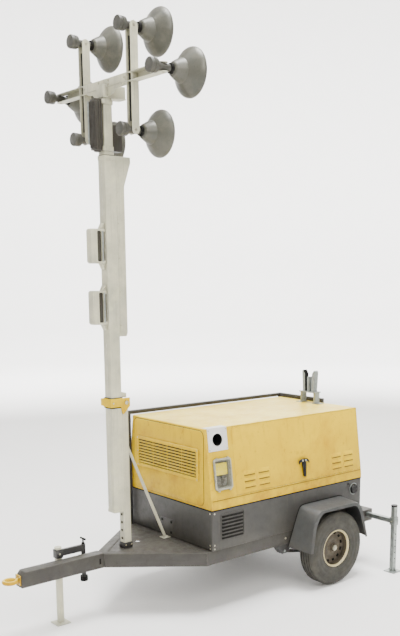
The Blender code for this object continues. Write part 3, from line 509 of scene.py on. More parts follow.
def tube(points, radius, sides=10, closed=False):  # a round bar or cable along a smooth run of points
    points = [Vector(p) for p in points]
    work = bmesh.new()
    rings, normal = [], None
    count = len(points)
    for i, point in enumerate(points):
        ahead = points[(i + 1) % count] if closed or i + 1 < count else point
        behind = points[i - 1] if closed or i else point
        heading = (ahead - behind).normalized()
        if normal is None:
            normal = heading.orthogonal().normalized()
        normal = (normal - heading * normal.dot(heading)).normalized()
        side = heading.cross(normal)
        turns = [2 * math.pi * k / sides for k in range(sides)]
        rings.append([work.verts.new(point + radius * (math.cos(t) * normal + math.sin(t) * side)) for t in turns])
    for a, b in list(zip(rings, rings[1:])) + ([(rings[-1], rings[0])] if closed else []):
        for k in range(sides):
            work.faces.new((a[k], a[(k + 1) % sides], b[(k + 1) % sides], b[k]))
    if not closed:
        work.faces.new(rings[0])
        work.faces.new(rings[-1])
    bmesh.ops.recalc_face_normals(work, faces=work.faces)
    return work


# a CAD node's own shape with its long edges eased
def refined(node, rounding=0.003, shortest=0.03, segments=2, sharpest=25):
    work = bmesh.new()
    work.from_mesh(nodes[node].data)
    bmesh.ops.remove_doubles(work, verts=work.verts, dist=0.00001)
    bmesh.ops.dissolve_limit(work, angle_limit=math.radians(1), verts=work.verts, edges=work.edges)
    pierced = [face for face in work.faces if len(face.verts) > 8 and face.calc_area() > 0.05]
    bmesh.ops.triangulate(work, faces=pierced)  # broad sheets with openings fill correctly only as triangles
    chosen = []
    for edge in work.edges:
        length = edge.calc_length()
        if len(edge.link_faces) != 2 or length < shortest or edge.calc_face_angle(0) < math.radians(sharpest):
            continue
        if min(face.calc_area() / length for face in edge.link_faces) > 2.4 * rounding:
            chosen.append(edge)
    if chosen:
        bmesh.ops.bevel(work, geom=chosen, offset=rounding, segments=segments, profile=0.5, affect="EDGES",
                        clamp_overlap=True)
    return work


def hexBolt(at, out, size=0.008, washer=True):  # a hexagon head on its washer, standing along out
    size *= 0.8  # heads are drawn a little under their nominal size
    place = between(at, Vector(at) + Vector(out))
    solids = [turned([(0, 0.0), (size * 0.92, 0.0), (size, size * 0.12), (size, size * 0.6),
                      (size * 0.8, size * 0.72), (0, size * 0.72)], 6, place)]
    if washer:
        solids.append(turned([(0, -0.0005), (size * 1.45, -0.0005), (size * 1.45, size * 0.16),
                              (size * 1.3, size * 0.22), (0, size * 0.22)], 20, place))
    return solids


def roundedRectangle(low, high, radius, steps=5):
    outline = []
    corners = [(high[0] - radius, high[1] - radius, 0), (low[0] + radius, high[1] - radius, 90),
               (low[0] + radius, low[1] + radius, 180), (high[0] - radius, low[1] + radius, 270)]
    for x, y, first in corners:
        for i in range(steps + 1):
            t = math.radians(first + 90 * i / steps)
            outline.append((x + radius * math.cos(t), y + radius * math.sin(t)))
    return outline


def drawnIn(low, high, d):  # a rectangle's corners, moved in by d
    return (low[0] + d, low[1] + d), (high[0] - d, high[1] - d)


def standing(y):  # places a slab drawn in X and Z
    return Matrix.Translation((0, y, 0)) @ Matrix.Rotation(math.pi / 2, 4, "X")


def alongX(x):  # places a slab drawn in Y and Z
    return Matrix(((0, 0, 1, x), (1, 0, 0, 0), (0, 1, 0, 0), (0, 0, 0, 1)))


def plan(z):  # places a slab drawn in X and Y
    return Matrix.Translation((0, 0, z))


def makePiece(name, finish, body, solids, stands=(), crease=32):  # one object from its solids, riding on its body
    work = bmesh.new()
    for solid in solids:
        mesh = bpy.data.meshes.new("solid")
        solid.to_mesh(mesh)
        solid.free()
        work.from_mesh(mesh)
        bpy.data.meshes.remove(mesh)
    mesh = bpy.data.meshes.new(name)
    work.to_mesh(mesh)
    work.free()
    if "custom_normal" in mesh.attributes:
        mesh.attributes.remove(mesh.attributes["custom_normal"])
    mesh.polygons.foreach_set("use_smooth", [face.area < 0.003 for face in mesh.polygons])  # broad sheets stay flat
    mesh.set_sharp_from_angle(angle=math.radians(crease))
    mesh.materials.clear()
    mesh.materials.append(finish)
    piece = bpy.data.objects.new(name, mesh)
    bpy.context.scene.collection.objects.link(piece)
    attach(piece, body)
    if stands:
        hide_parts(*stands)
    return piece


def carryNode(name, finish, body, node, rounding, **how):  # a piece that is a node's own shape, with eased edges
    return makePiece(name, finish, body, [refined(node, rounding, **how)], [node])


sides = ((-1, "near", "Near"), (1, "far", "Far"))  # sign along Y, ending in node names, ending in piece names

# Chassis, drawbar and deck

chassis = {"edge": 0.004, "boltSize": 0.008, "deckTop": 0.4917}
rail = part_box("chassis_frame")
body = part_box("lower_body")
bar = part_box("drawbar")
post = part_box("mast_post")
carryNode("chassisFrame", frameEnamel, "trailer", "chassis_frame", chassis["edge"])
carryNode("drawbarBeam", frameEnamel, "trailer", "drawbar", 0.006)

noseStart = Vector((-0.262, 0.535, 0))  # where each rail turns in towards the drawbar
noseEnd = Vector((-0.85, 0.045, 0))
noseRun = (noseEnd - noseStart).normalized()
noseOut = Vector((noseRun.y, -noseRun.x, 0))
welds, railBolts = [], []
for side, end, label in sides:
    start = Vector((noseStart.x, side * noseStart.y, 0))
    out = Vector((noseOut.x, side * noseOut.y, 0))
    welds.append(tube([start + Vector((0, 0, z)) + out * 0.0005 for z in (rail[0].z + 0.004, rail[1].z - 0.004)],
                      0.0035, 8))
    welds.append(tube([(x, side * rail[1].y, rail[1].z + 0.0005) for x in (body[0].x + 0.02, 0.3, body[1].x)], 0.0028,
                      8))
    for x in (0.56, 1.5):
        railBolts += hexBolt((x, side * rail[1].y, rail[0].z + 0.05), (0, side, 0), chassis["boltSize"])
deckLine = [(noseEnd.x + 0.06, 0.0), (-0.262, -0.455), (-0.262, 0.455)]
welds.append(tube([(x, y, chassis["deckTop"]) for x, y in deckLine], 0.003, 8, closed=True))
welds.append(tube([(bar[1].x, -0.045, bar[1].z - 0.01), (bar[1].x, 0.045, bar[1].z - 0.01)], 0.005, 8))
makePiece("frameWelds", frameEnamel, "trailer", welds)
makePiece("frameBolts", platedSteel, "trailer", railBolts)
# dark marks on the drawbar's sides for its slots: painted shade
drawbarSlots = [block((-0.892, side * 0.045 - 0.0006, 0.424), (-0.878, side * 0.045 + 0.0006, 0.466), 0.0003)
                for side in (-1, 1)]
makePiece("drawbarSlots", sealRubberAndShade, "trailer", drawbarSlots)

eye = {"x": -1.585, "z": 0.445, "radius": 0.0425, "bar": 0.0125, "height": 0.015}
eyeProfile = []
for i in range(12):
    t = 2 * math.pi * i / 12
    eyeProfile.append((eye["radius"] + eye["bar"] * math.cos(t), eye["height"] * math.sin(t)))
eyeRing = turned(eyeProfile, 40, Matrix.Translation((eye["x"], 0, eye["z"])), closed=True)
shank = turned([(0, 0), (0.02, 0), (0.016, 0.008), (0.0145, 0.03), (0, 0.03)], 24,
               between((bar[0].x - 0.0005, 0, eye["z"]), (bar[0].x - 1, 0, eye["z"])))
flange = block((bar[0].x - 0.007, -0.036, 0.409), (bar[0].x - 0.0003, 0.036, 0.481), 0.002)
makePiece("towEyeForging", yellowPowderCoat, "trailer", [eyeRing, shank, flange], ["tow_eye"])
flangeBolts = []
for y in (-0.026, 0.026):
    for z in (0.419, 0.471):
        flangeBolts += hexBolt((bar[0].x - 0.007, y, z), (-1, 0, 0), 0.006)
makePiece("drawbarBolts", platedSteel, "trailer", flangeBolts)
print("chassis made")


# Axle, springs and wheels

spring = {"leaves": 4, "leafGap": 0.0075, "width": 0.05, "camber": 0.055, "half": 0.43, "top": 0.286}
axleX = 0.971
carryNode("axleBeam", darkEnamel, "trailer", "axle_beam", 0.003)


def leafHeight(x, leaf):  # the top of one leaf of the bent pack
    bend = spring["camber"] * ((x - axleX) / spring["half"]) ** 2
    return spring["top"] + bend - 0.002 - leaf * spring["leafGap"]


leaves, clamps = [], []
for side, end, label in sides:
    for i in range(spring["leaves"]):
        reach = spring["half"] * (1 - 0.2 * i) - 0.02
        steps = [k / 8 for k in range(-8, 9)]
        upper = [(axleX + reach * t, leafHeight(axleX + reach * t, i)) for t in steps]
        lower = [(x, z - 0.006) for x, z in reversed(upper)]
        leaves.append(slab([upper + lower], spring["width"] + 0.004, 0.0, standing(side * 0.505)))
    for x in (axleX - 0.045, axleX + 0.045):
        line = [(x, side * 0.505 + 0.032 * math.cos(t), 0.345 - 0.004 + 0.02 * math.sin(t))
                for t in [math.pi * k / 8 for k in range(9)]]
        line = [(x, side * 0.505 + 0.032, 0.245)] + line + [(x, side * 0.505 - 0.032, 0.245)]
        clamps.append(tube(line, 0.006, 10))
    clamps.append(block((axleX - 0.065, side * 0.505 - 0.042, 0.25), (axleX + 0.065, side * 0.505 + 0.042, 0.259),
                        0.002))
    for x in (axleX - 0.42, axleX + 0.42):
        clamps += hexBolt((x, side * 0.5352, 0.335), (0, side, 0), 0.009)
makePiece("springLeaves", darkEnamel, "trailer", leaves)
makePiece("springClamps", galvanisedSteel, "trailer", clamps)

wheel = {"y": 0.6545, "radius": 0.31, "grooves": (-0.04, -0.014, 0.014, 0.04), "lugs": 54,
         "slots": 12, "slotInner": 0.108, "nuts": 5}


def tyreProfile():  # (radius, height) from the outboard bead round to the inboard one
    side = [(0.1565, 0.056), (0.158, 0.064), (0.163, 0.0705), (0.172, 0.0755), (0.18, 0.0775), (0.186, 0.0765),
            (0.189, 0.0785), (0.197, 0.0805), (0.214, 0.0818), (0.22, 0.08), (0.226, 0.0818), (0.24, 0.0822),
            (0.254, 0.081), (0.26, 0.0788), (0.266, 0.0798), (0.276, 0.0775), (0.286, 0.0738), (0.295, 0.069),
            (0.301, 0.064)]
    tread = [(0.3065, 0.056)]
    for z in reversed(wheel["grooves"]):
        tread += [(0.3095 - 0.05 * abs(z + 0.004) ** 1.4, z + 0.0045), (0.301, z + 0.003), (0.301, z - 0.003),
                  (0.3095 - 0.05 * abs(z - 0.004) ** 1.4, z - 0.0045)]
    tread.append((0.3065, -0.056))
    return side + tread + [(r, -z) for r, z in reversed(side)]


def rimFace():  # the pressed disc, with its hand holes left open, as a sheet
    rings = [(0.046, 0.019), (0.054, 0.014), (0.066, 0.017), (0.082, 0.012), (0.096, 0.005), (0.108, 0.005),
             (0.127, 0.0105), (0.132, 0.012), (0.1415, 0.01)]
    steps = 96
    work = bmesh.new()
    grid = [[work.verts.new((r * math.cos(2 * math.pi * i / steps), r * math.sin(2 * math.pi * i / steps), z))
             for i in range(steps)] for r, z in rings]
    period = steps // wheel["slots"]
    for k, (a, b) in enumerate(zip(grid, grid[1:])):
        for i in range(steps):
            if rings[k][0] == wheel["slotInner"] and i % period in (1, 2, 3, 4):
                continue
            j = (i + 1) % steps
            work.faces.new((a[i], a[j], b[j], b[i]))
    return work


for side, end, label in sides:
    hubCentre = Matrix.Translation((axleX, side * wheel["y"], wheel["radius"]))
    place = hubCentre @ Matrix.Rotation(-side * math.pi / 2, 4, "X")
    bodyName = "wheel_" + end
    tyre = turned(tyreProfile(), 108, place, closed=True)
    lugs = []
    for i in range(wheel["lugs"]):
        turn = Matrix.Rotation(2 * math.pi * i / wheel["lugs"], 4, "Z")
        for z in (0.0585, -0.0585):
            lean = math.copysign(0.22, z)
            lug = block((0.296, -0.0085, -0.0125), (0.3105, 0.0085, 0.0125), 0.0015, segments=1)
            lugs.append(moved(lug, place @ turn @ Matrix.Translation((0, 0, z)) @ Matrix.Rotation(lean, 4, "Y")))
    makePiece("tyre" + label, tyreRubber, bodyName, [tyre] + lugs, ["tyre_" + end], crease=38)

    face = rimFace()
    bmesh.ops.recalc_face_normals(face, faces=face.faces)
    bmesh.ops.solidify(face, geom=list(face.faces), thickness=0.004)
    barrel = turned([(0.145, -0.058), (0.142, -0.03), (0.14, 0.012), (0.1415, 0.03), (0.1435, 0.052),
                     (0.1475, 0.0605), (0.1515, 0.0635), (0.1555, 0.063), (0.1568, 0.059), (0.1568, -0.0615),
                     (0.1555, -0.0655), (0.149, -0.064)], 96, place, closed=True)
    shade = turned([(0.055, -0.004), (0.14, -0.004), (0.14, -0.01), (0.055, -0.01)], 64, place, closed=True)
    makePiece("rimShade" + label, sealRubberAndShade, bodyName, [shade])
    hub = turned([(0, 0.04), (0.03, 0.04), (0.034, 0.036), (0.036, 0.022), (0.052, 0.015), (0.056, -0.012),
                  (0.05, -0.058), (0.021, -0.058), (0.021, 0.02), (0, 0.02)], 40, place)
    makePiece("rimDisc" + label, rimEnamel, bodyName, [moved(face, place), hub, barrel], ["rim_" + end])
    band = turned([(0.1425, 0.05), (0.1455, 0.061), (0.15, 0.0655), (0.1545, 0.0655), (0.1578, 0.062),
                   (0.1574, 0.059), (0.152, 0.061), (0.1475, 0.058), (0.1445, 0.05)], 96, place, closed=True)
    makePiece("rimBand" + label, creamEnamel, bodyName, [band])
    cap = turned([(0, 0.06), (0.009, 0.0592), (0.014, 0.057), (0.0165, 0.053), (0.0225, 0.0505), (0.0245, 0.046),
                  (0.0245, 0.039), (0, 0.039)], 32, place)
    nuts = []
    for i in range(wheel["nuts"]):
        t = 2 * math.pi * i / wheel["nuts"]
        spot = place @ Vector((0.052 * math.cos(t), 0.052 * math.sin(t), 0.014))
        nuts += hexBolt(spot, (0, side, 0), 0.0085)
    makePiece("wheelNuts" + label, rimEnamel, bodyName, nuts)
    makePiece("hubCap" + label, platedSteel, bodyName, [cap])
print("wheels made")


# Fenders: a folded guard with a rounded shoulder and a turned-down lip

guard = {"inner": 0.5478, "outer": 0.745, "thickness": 0.004}
guardInner = [(0.575, 0.364), (0.69, 0.655), (0.722, 0.691), (1.205, 0.691), (1.24, 0.655), (1.35, 0.364)]
guardOuter = [(0.645, 0.335), (0.672, 0.575), (0.745, 0.676), (1.215, 0.672), (1.27, 0.59), (1.336, 0.345)]


def eased(line, amount, steps=4):  # rounds the corners of an open run of points
    result = [Vector(line[0])]
    for before, here, after in zip(line, line[1:], line[2:]):
        before, here, after = Vector(before), Vector(here), Vector(after)
        a = here + (before - here).normalized() * min(amount, (before - here).length * 0.45)
        b = here + (after - here).normalized() * min(amount, (after - here).length * 0.45)
        for k in range(steps + 1):
            t = k / steps
            result.append((1 - t) ** 2 * a + 2 * t * (1 - t) * here + t * t * b)
    result.append(Vector(line[-1]))
    return result


for side, end, label in sides:
    inner = eased(guardInner, 0.05)
    outer = eased(guardOuter, 0.05)
    lip = [Vector((x + 0.1 * (axleX - x), z - 0.026)) for x, z in outer]
    lip[0], lip[-1] = Vector((0.668, 0.335)), Vector((1.312, 0.345))
    work = bmesh.new()
    grid = [[work.verts.new((p.x, side * guard["inner"], p.y)) for p in inner]]
    for k in range(1, 4):
        t = k / 3 * 0.92
        grid.append([work.verts.new((a.x + (b.x - a.x) * t,
                                     side * (guard["inner"] + (guard["outer"] - guard["inner"]) * t),
                                     a.y + (b.y - a.y) * t)) for a, b in zip(inner, outer)])
    grid.append([work.verts.new((b.x + (c.x - b.x) * 0.03, side * (guard["outer"] - 0.003), b.y + (c.y - b.y) * 0.1))
                 for b, c in zip(outer, lip)])
    for t in (0.35, 1.0):
        grid.append([work.verts.new((b.x + (c.x - b.x) * t, side * guard["outer"], b.y + (c.y - b.y) * t))
                     for b, c in zip(outer, lip)])
    for row, after in zip(grid, grid[1:]):
        for i in range(len(row) - 1):
            work.faces.new((row[i], row[i + 1], after[i + 1], after[i]))
    bmesh.ops.recalc_face_normals(work, faces=work.faces)
    top = max(work.faces, key=lambda f: f.calc_center_median().z)
    if top.normal.z < 0:
        bmesh.ops.reverse_faces(work, faces=work.faces)
    bmesh.ops.solidify(work, geom=list(work.faces), thickness=guard["thickness"])
    makePiece("fenderGuard" + label, fenderPolyethylene, "trailer", [work], ["fender_" + end], crease=40)
    seam = [(p.x, side * 0.548, p.y) for p in inner]
    makePiece("fenderSeal" + label, sealRubberAndShade, "trailer", [tube([(x, y, z + 0.003) for x, y, z in seam], 0.0042, 8)])
print("fenders made")


# Tub: the enamelled lower body, its vent and its bolts

tub = {"edge": 0.009, "ventLow": (-0.136, 0.566), "ventHigh": (0.101, 0.77), "slotBase": 0.578, "slotStep": 0.028,
       "slots": 7}
carryNode("lowerBody", baseEnamel, "trailer", "lower_body", tub["edge"], shortest=0.25, segments=3)
near, far, front, rear = body[0].y, body[1].y, body[0].x, body[1].x
vent = [slab([roundedRectangle(tub["ventLow"], tub["ventHigh"], 0.01),
              roundedRectangle(*drawnIn(tub["ventLow"], tub["ventHigh"], 0.007), 0.005)],
             0.005, 0.0015, standing(near - 0.0015))]
for row in range(tub["slots"]):
    z = tub["slotBase"] + tub["slotStep"] * row
    blind = [(near - 0.0005, z + 0.0235), (near - 0.004, z + 0.0215), (near - 0.0058, z + 0.015),
             (near - 0.0062, z + 0.0118), (near - 0.004, z + 0.0118), (near - 0.0005, z + 0.02)]
    vent.append(slab([blind], 0.212, 0.0, alongX(-0.0175)))
makePiece("tubVent", baseEnamel, "trailer", vent)
# dark strips in the vent's slots: painted shade
ventSlots = [block((-0.122, near - 0.0022, tub["slotBase"] + tub["slotStep"] * row - 0.006),
                   (0.087, near + 0.002, tub["slotBase"] + tub["slotStep"] * row + 0.0125), 0.0006)
             for row in range(tub["slots"])]
makePiece("ventSlots", sealRubberAndShade, "trailer", ventSlots)
makePiece("tubVentMesh", sealRubberAndShade, "trailer",
          [block((-0.128, near + 0.006, 0.572), (0.093, near + 0.01, 0.766), 0.001)])
tubSeal = []
for y0, y1 in ((near - 0.001, near + 0.004), (far - 0.004, far + 0.001)):
    tubSeal.append(block((front, y0, body[1].z - 0.006), (rear, y1, body[1].z + 0.004), 0.001))
for x0, x1 in ((front - 0.001, front + 0.004), (rear - 0.004, rear + 0.001)):
    tubSeal.append(block((x0, near, body[1].z - 0.006), (x1, far, body[1].z + 0.004), 0.001))
makePiece("tubSeal", sealRubberAndShade, "trailer", tubSeal)
tubBolts = []
for z in (0.512, 0.54, 0.785):
    tubBolts += hexBolt((front + 0.024, near, z), (0, -1, 0), 0.006)
    tubBolts += hexBolt((front + 0.024, far, z), (0, 1, 0), 0.006)
    for y in (near + 0.024, far - 0.024):
        tubBolts += hexBolt((front, y, z), (-1, 0, 0), 0.006)
darkBolts = []
for y, z in ((0.082, 0.62), (-0.04, 0.619), (-0.037, 0.533)):
    darkBolts += hexBolt((front - 0.003, y, z), (-1, 0, 0), 0.01)
makePiece("panelBolts", sealRubberAndShade, "trailer", darkBolts)
for x in (0.3, 0.62, 0.94, 1.26):
    tubBolts += hexBolt((x, far, 0.78), (0, 1, 0), 0.0075)
for y in (-0.42, -0.14, 0.14, 0.42):
    tubBolts += hexBolt((rear, y, 0.78), (1, 0, 0), 0.0075)
makePiece("tubBolts", platedSteel, "trailer", tubBolts)
accessPanel = slab([roundedRectangle((-0.06, 0.512), (0.104, 0.64), 0.006)], 0.004, 0.0012, alongX(front - 0.001))
rearPanel = slab([roundedRectangle((-0.4, 0.53), (0.4, 0.77), 0.014)], 0.005, 0.0015, alongX(rear + 0.001))
makePiece("tubPanels", baseEnamel, "trailer", [accessPanel, rearPanel])

fuel = {"x": 1.364, "z": 0.724}
capPlace = between((fuel["x"], near, fuel["z"]), (fuel["x"], near - 1, fuel["z"]))
makePiece("fuelCapRing", galvanisedSteel, "trailer",
          [turned([(0.0435, -0.002), (0.05, -0.002), (0.0505, 0.003), (0.048, 0.005), (0.0435, 0.004)], 48, capPlace,
                  closed=True)])
capSolids = [turned([(0, -0.03), (0.029, -0.03), (0.029, 0.002), (0.0405, 0.002), (0.0412, 0.006), (0.0405, 0.016),
                     (0.0375, 0.0205), (0.028, 0.0215), (0.026, 0.0185), (0, 0.018)], 48, capPlace)]
for i in range(18):
    capSolids.append(moved(block((0.039, -0.0018, 0.005), (0.0424, 0.0018, 0.017), 0.0006, segments=1),
                           capPlace @ Matrix.Rotation(2 * math.pi * i / 18, 4, "Z")))
capSolids.append(moved(block((-0.03, -0.005, 0.016), (0.03, 0.005, 0.0222), 0.0015), capPlace))
makePiece("fuelCapGrip", blackNylon, "fuel_cap", capSolids, ["fuel_cap"])
makePiece("filLock", blackNylon, "trailer", [rod((1.299, near + 0.002, 0.775), (1.299, near - 0.006, 0.775), 0.01)])
print("tub made")


# Canopy

hood = {"edge": 0.01, "sill": 0.89, "panelHalf": 0.45, "panelTop": 1.4, "panelLow": 0.828}
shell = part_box("canopy_shell")
roofTop = shell[1].z
carryNode("canopyShell", yellowPowderCoat, "trailer", "canopy_shell", hood["edge"], shortest=0.3, segments=4,
          sharpest=5)
slopeRun, slopeRise = 0.547 - 0.475, roofTop - hood["sill"]
slopeLength = math.hypot(slopeRun, slopeRise)
upY, upZ = slopeRun / slopeLength, slopeRise / slopeLength
# along X, up the near slope, out of it
slope = Matrix(((1, 0, 0, 0), (0, upY, -upZ, near), (0, upZ, upY, hood["sill"]), (0, 0, 0, 1)))
farSlope = Matrix.Scale(-1, 4, (0, 1, 0)) @ slope


def onSlope(low, high, rounding, place=slope):  # a block drawn along X, up the slope and out of it
    return moved(block(low, high, rounding), place)


def raised(height, place=slope):  # the slope's frame, lifted off the sheet
    return place @ Matrix.Translation((0, 0, height))


frontSkin = slab([roundedRectangle((-hood["panelHalf"], hood["panelLow"]), (hood["panelHalf"], hood["panelTop"]),
                                   0.045, 8), roundedRectangle((-0.398, 1.015), (0.398, 1.258), 0.012)], 0.006, 0.002,
                 alongX(front - 0.001))
trim = []
for place in (slope, farSlope):
    trim.append(moved(block((front + 0.006, -0.006, -0.004), (rear - 0.006, -0.0005, 0.0025), 0.001), place))
makePiece("canopySkins", yellowPowderCoat, "trailer", [frontSkin] + trim)
rearDoor = slab([roundedRectangle((-0.4, 0.85), (0.4, 1.36), 0.03, 8)], 0.006, 0.002, alongX(rear + 0.001))
frontShadow = slab([roundedRectangle((-hood["panelHalf"] - 0.005, hood["panelLow"] - 0.002),
                                     (hood["panelHalf"] + 0.005, hood["panelTop"] + 0.005), 0.048, 8),
                    roundedRectangle((-hood["panelHalf"] + 0.003, hood["panelLow"] + 0.003),
                                     (hood["panelHalf"] - 0.003, hood["panelTop"] - 0.003), 0.044, 8)], 0.0016, 0.0,
                   alongX(front))
# a dark sheet behind the grille slats: painted shade
grilleVoid = slab([roundedRectangle((-0.404, 1.009), (0.404, 1.264), 0.012)], 0.0022, 0.0, alongX(front - 0.0012))
# thin dark lines along the sills: painted shadow
sillLines = [moved(block((front + 0.012, -0.0115, -0.001), (rear - 0.012, -0.008, 0.0012), 0.0004), place)
             for place in (slope, farSlope)]
makePiece("panelSeamShade", gapShadow, "trailer", [frontShadow, grilleVoid] + sillLines)
makePiece("rearSkin", yellowPowderCoat, "trailer", [rearDoor])
farDoor = slab([roundedRectangle((0.03, 0.01), (1.43, 0.515), 0.012)], 0.006, 0.002, farSlope)
if farDoor.faces and sum(f.calc_center_median().dot(f.normal) for f in farDoor.faces) < 0:
    bmesh.ops.reverse_faces(farDoor, faces=farDoor.faces)
makePiece("farSkin", yellowPowderCoat, "trailer", [farDoor])


def pressedLouvre(x, up, place, width=0.12):  # a hood raised from the sheet, open and dark below
    work = bmesh.new()
    across = [-1 + 2 * i / 12 for i in range(13)]
    rise = [(0.0, 0.0075), (0.003, 0.0085), (0.01, 0.008), (0.019, 0.0055), (0.027, 0.0022), (0.032, -0.0004)]
    grid = []
    for v, n in rise:
        row = []
        for t in across:
            fade = min(1.0, (1 - abs(t)) * 6) ** 0.5
            row.append(work.verts.new((x + t * width / 2, up + v - 0.001 * (1 - fade), n * fade)))
        grid.append(row)
    for a, b in zip(grid, grid[1:]):
        for i in range(12):
            work.faces.new((a[i], a[i + 1], b[i + 1], b[i]))
    bmesh.ops.recalc_face_normals(work, faces=work.faces)
    if max(work.faces, key=lambda f: f.calc_area()).normal.z < 0:
        bmesh.ops.reverse_faces(work, faces=work.faces)
    bmesh.ops.solidify(work, geom=list(work.faces), thickness=0.0016)
    return moved(work, place)


doorLow, doorHigh = (0.03, 0.003), (1.448, 0.5245)
louvreX = (0.172, 0.322, 1.158, 1.308)
skin = slab([roundedRectangle(doorLow, doorHigh, 0.012)], 0.003, 0.001, raised(-0.0015))
rim = slab([roundedRectangle(*drawnIn(doorLow, doorHigh, 0.001), 0.011),
            roundedRectangle(*drawnIn(doorLow, doorHigh, 0.0035), 0.009)], 0.016, 0.0,
           raised(-0.01))
stiffeners = [onSlope((x, 0.02, -0.016), (x + 0.06, 0.5, -0.0028), 0.003) for x in (0.36, 1.06)]
louvres = [pressedLouvre(x, 0.048 + 0.048 * row, slope) for x in louvreX for row in range(3)]
latchPlate = onSlope((0.735, 0.032, -0.003), (0.775, 0.182, 0.0025), 0.0015)
makePiece("sideDoor", yellowPowderCoat, "door", [skin, rim] + stiffeners + [latchPlate] + louvres, ["side_door"])
# dark strips under each louvre hood: painted shade in the openings
louvreSlots = [onSlope((x - 0.055, 0.0395 + 0.048 * row, -0.001), (x + 0.055, 0.051 + 0.048 * row, 0.0008), 0.0004)
               for x in louvreX for row in range(3)]
makePiece("louvreSlots", gapShadow, "door", louvreSlots)
hinges = []
for x in (0.2, 0.74, 1.28):
    hinges.append(rod(slope @ Vector((x - 0.04, 0.5278, 0.0)), slope @ Vector((x + 0.04, 0.5278, 0.0)), 0.0024, 12,
                      0.0006))
makePiece("doorHinges", yellowPowderCoat, "trailer", hinges)
louvresFar = [pressedLouvre(x, 0.048 + 0.048 * row, raised(0.002, farSlope)) for x in louvreX for row in range(3)]
for solid in louvresFar:
    bmesh.ops.reverse_faces(solid, faces=solid.faces)
makePiece("farLouvres", yellowPowderCoat, "trailer", louvresFar)

latch = {"x": 0.755, "low": 0.05, "high": 0.15}


def mirrored(line):  # a half outline as (offset, height), closed over the latch's middle
    return [(latch["x"] + a, b) for a, b in line] + [(latch["x"] - a, b) for a, b in reversed(line)]


grip = slab([mirrored([(0.006, 0.036), (0.011, 0.042), (0.0135, 0.056), (0.0165, 0.09), (0.021, 0.12), (0.0225, 0.14),
                       (0.0205, 0.16), (0.016, 0.172)])], 0.013, 0.004, raised(0.0165))
ridge = slab([mirrored([(0.004, 0.048), (0.0075, 0.06), (0.011, 0.105), (0.012, 0.135), (0.009, 0.155)])], 0.006,
             0.002, raised(0.0245))
ears = slab([mirrored([(0.02, 0.156), (0.033, 0.16), (0.048, 0.154), (0.056, 0.143), (0.06, 0.15), (0.054, 0.168),
                       (0.04, 0.179), (0.018, 0.184)])], 0.011, 0.003, raised(0.017))
stems = [rod(slope @ Vector((latch["x"], up, 0.0025)), slope @ Vector((latch["x"], up, 0.0135)), 0.0085)
         for up in (latch["low"], latch["high"])]
makePiece("doorLatch", blackNylon, "latch", [grip, ridge, ears] + stems, ["door_latch"])
latchPins = []
for x in (-0.017, 0.017):
    latchPins.append(turned([(0, -0.002), (0.0095, -0.002), (0.0095, 0.001), (0.007, 0.0038), (0, 0.0048)], 24,
                            slope @ Matrix.Translation((latch["x"] + x, 0.168, 0.0225))))
latchPins.append(turned([(0, -0.002), (0.0045, -0.002), (0.0045, 0.001), (0, 0.0022)], 20,
                        slope @ Matrix.Translation((latch["x"], 0.052, 0.0245))))
makePiece("latchPins", platedSteel, "latch", latchPins)

grille = {"low": (-0.4, 1.013), "high": (0.4, 1.26), "inLow": (-0.375, 1.038), "inHigh": (0.375, 1.235), "slats": 8,
          "step": 0.0236}
ring = slab([roundedRectangle(grille["low"], grille["high"], 0.018),
             roundedRectangle(grille["inLow"], grille["inHigh"], 0.008)], 0.014, 0.003, alongX(front - 0.0073))
slats = []
for row in range(grille["slats"]):
    z = 1.048 + grille["step"] * row
    blade = [(front - 0.0135, z + 0.002), (front - 0.013, z - 0.001), (front - 0.011, z - 0.0005),
             (front - 0.003, z + 0.007), (front - 0.0028, z + 0.0095), (front - 0.0045, z + 0.0098)]
    slats.append(slab([blade], 0.752, 0.0, standing(0)))
for y in (-0.188, 0.0, 0.188):
    slats.append(block((front - 0.0045, y - 0.003, 1.036), (front - 0.0015, y + 0.003, 1.237), 0.0008))
makePiece("frontGrille", yellowPowderCoat, "trailer", [ring] + slats, ["front_grille"])
grilleScrews = []
for y in (-0.388, 0.388):
    for z in (1.025, 1.1365, 1.248):
        grilleScrews += hexBolt((front - 0.0143, y, z), (-1, 0, 0), 0.005)
makePiece("grilleScrews", platedSteel, "trailer", grilleScrews)

flue = {"x": -0.118, "up": 0.446}
carryNode("exhaustPlate", blastedAluminium, "trailer", "exhaust_outlet", 0.0012, shortest=0.05)
centre = slope @ Matrix.Translation((flue["x"], flue["up"], 0.0))
makePiece("exhaustRing", blastedAluminium, "trailer",
          [turned([(0.0475, 0.001), (0.0475, 0.0045), (0.05, 0.006), (0.053, 0.0045), (0.0545, 0.0025),
                   (0.0545, 0.001)], 56, centre, closed=True)])
makePiece("exhaustThroat", sealRubberAndShade, "trailer",
          [turned([(0.0474, 0.002), (0.0474, -0.096), (0, -0.096), (0, -0.092), (0.0462, -0.092), (0.0462, 0.002)],
                  48, centre)])
plateScrews = []
for x, up in ((-0.197, 0.374), (-0.03, 0.374), (-0.197, 0.52), (-0.03, 0.52)):
    spot = slope @ Vector((x, up, 0.003))
    plateScrews += hexBolt(spot, slope.to_3x3() @ Vector((0, 0, 1)), 0.0045)
makePiece("exhaustScrews", platedSteel, "trailer", plateScrews)

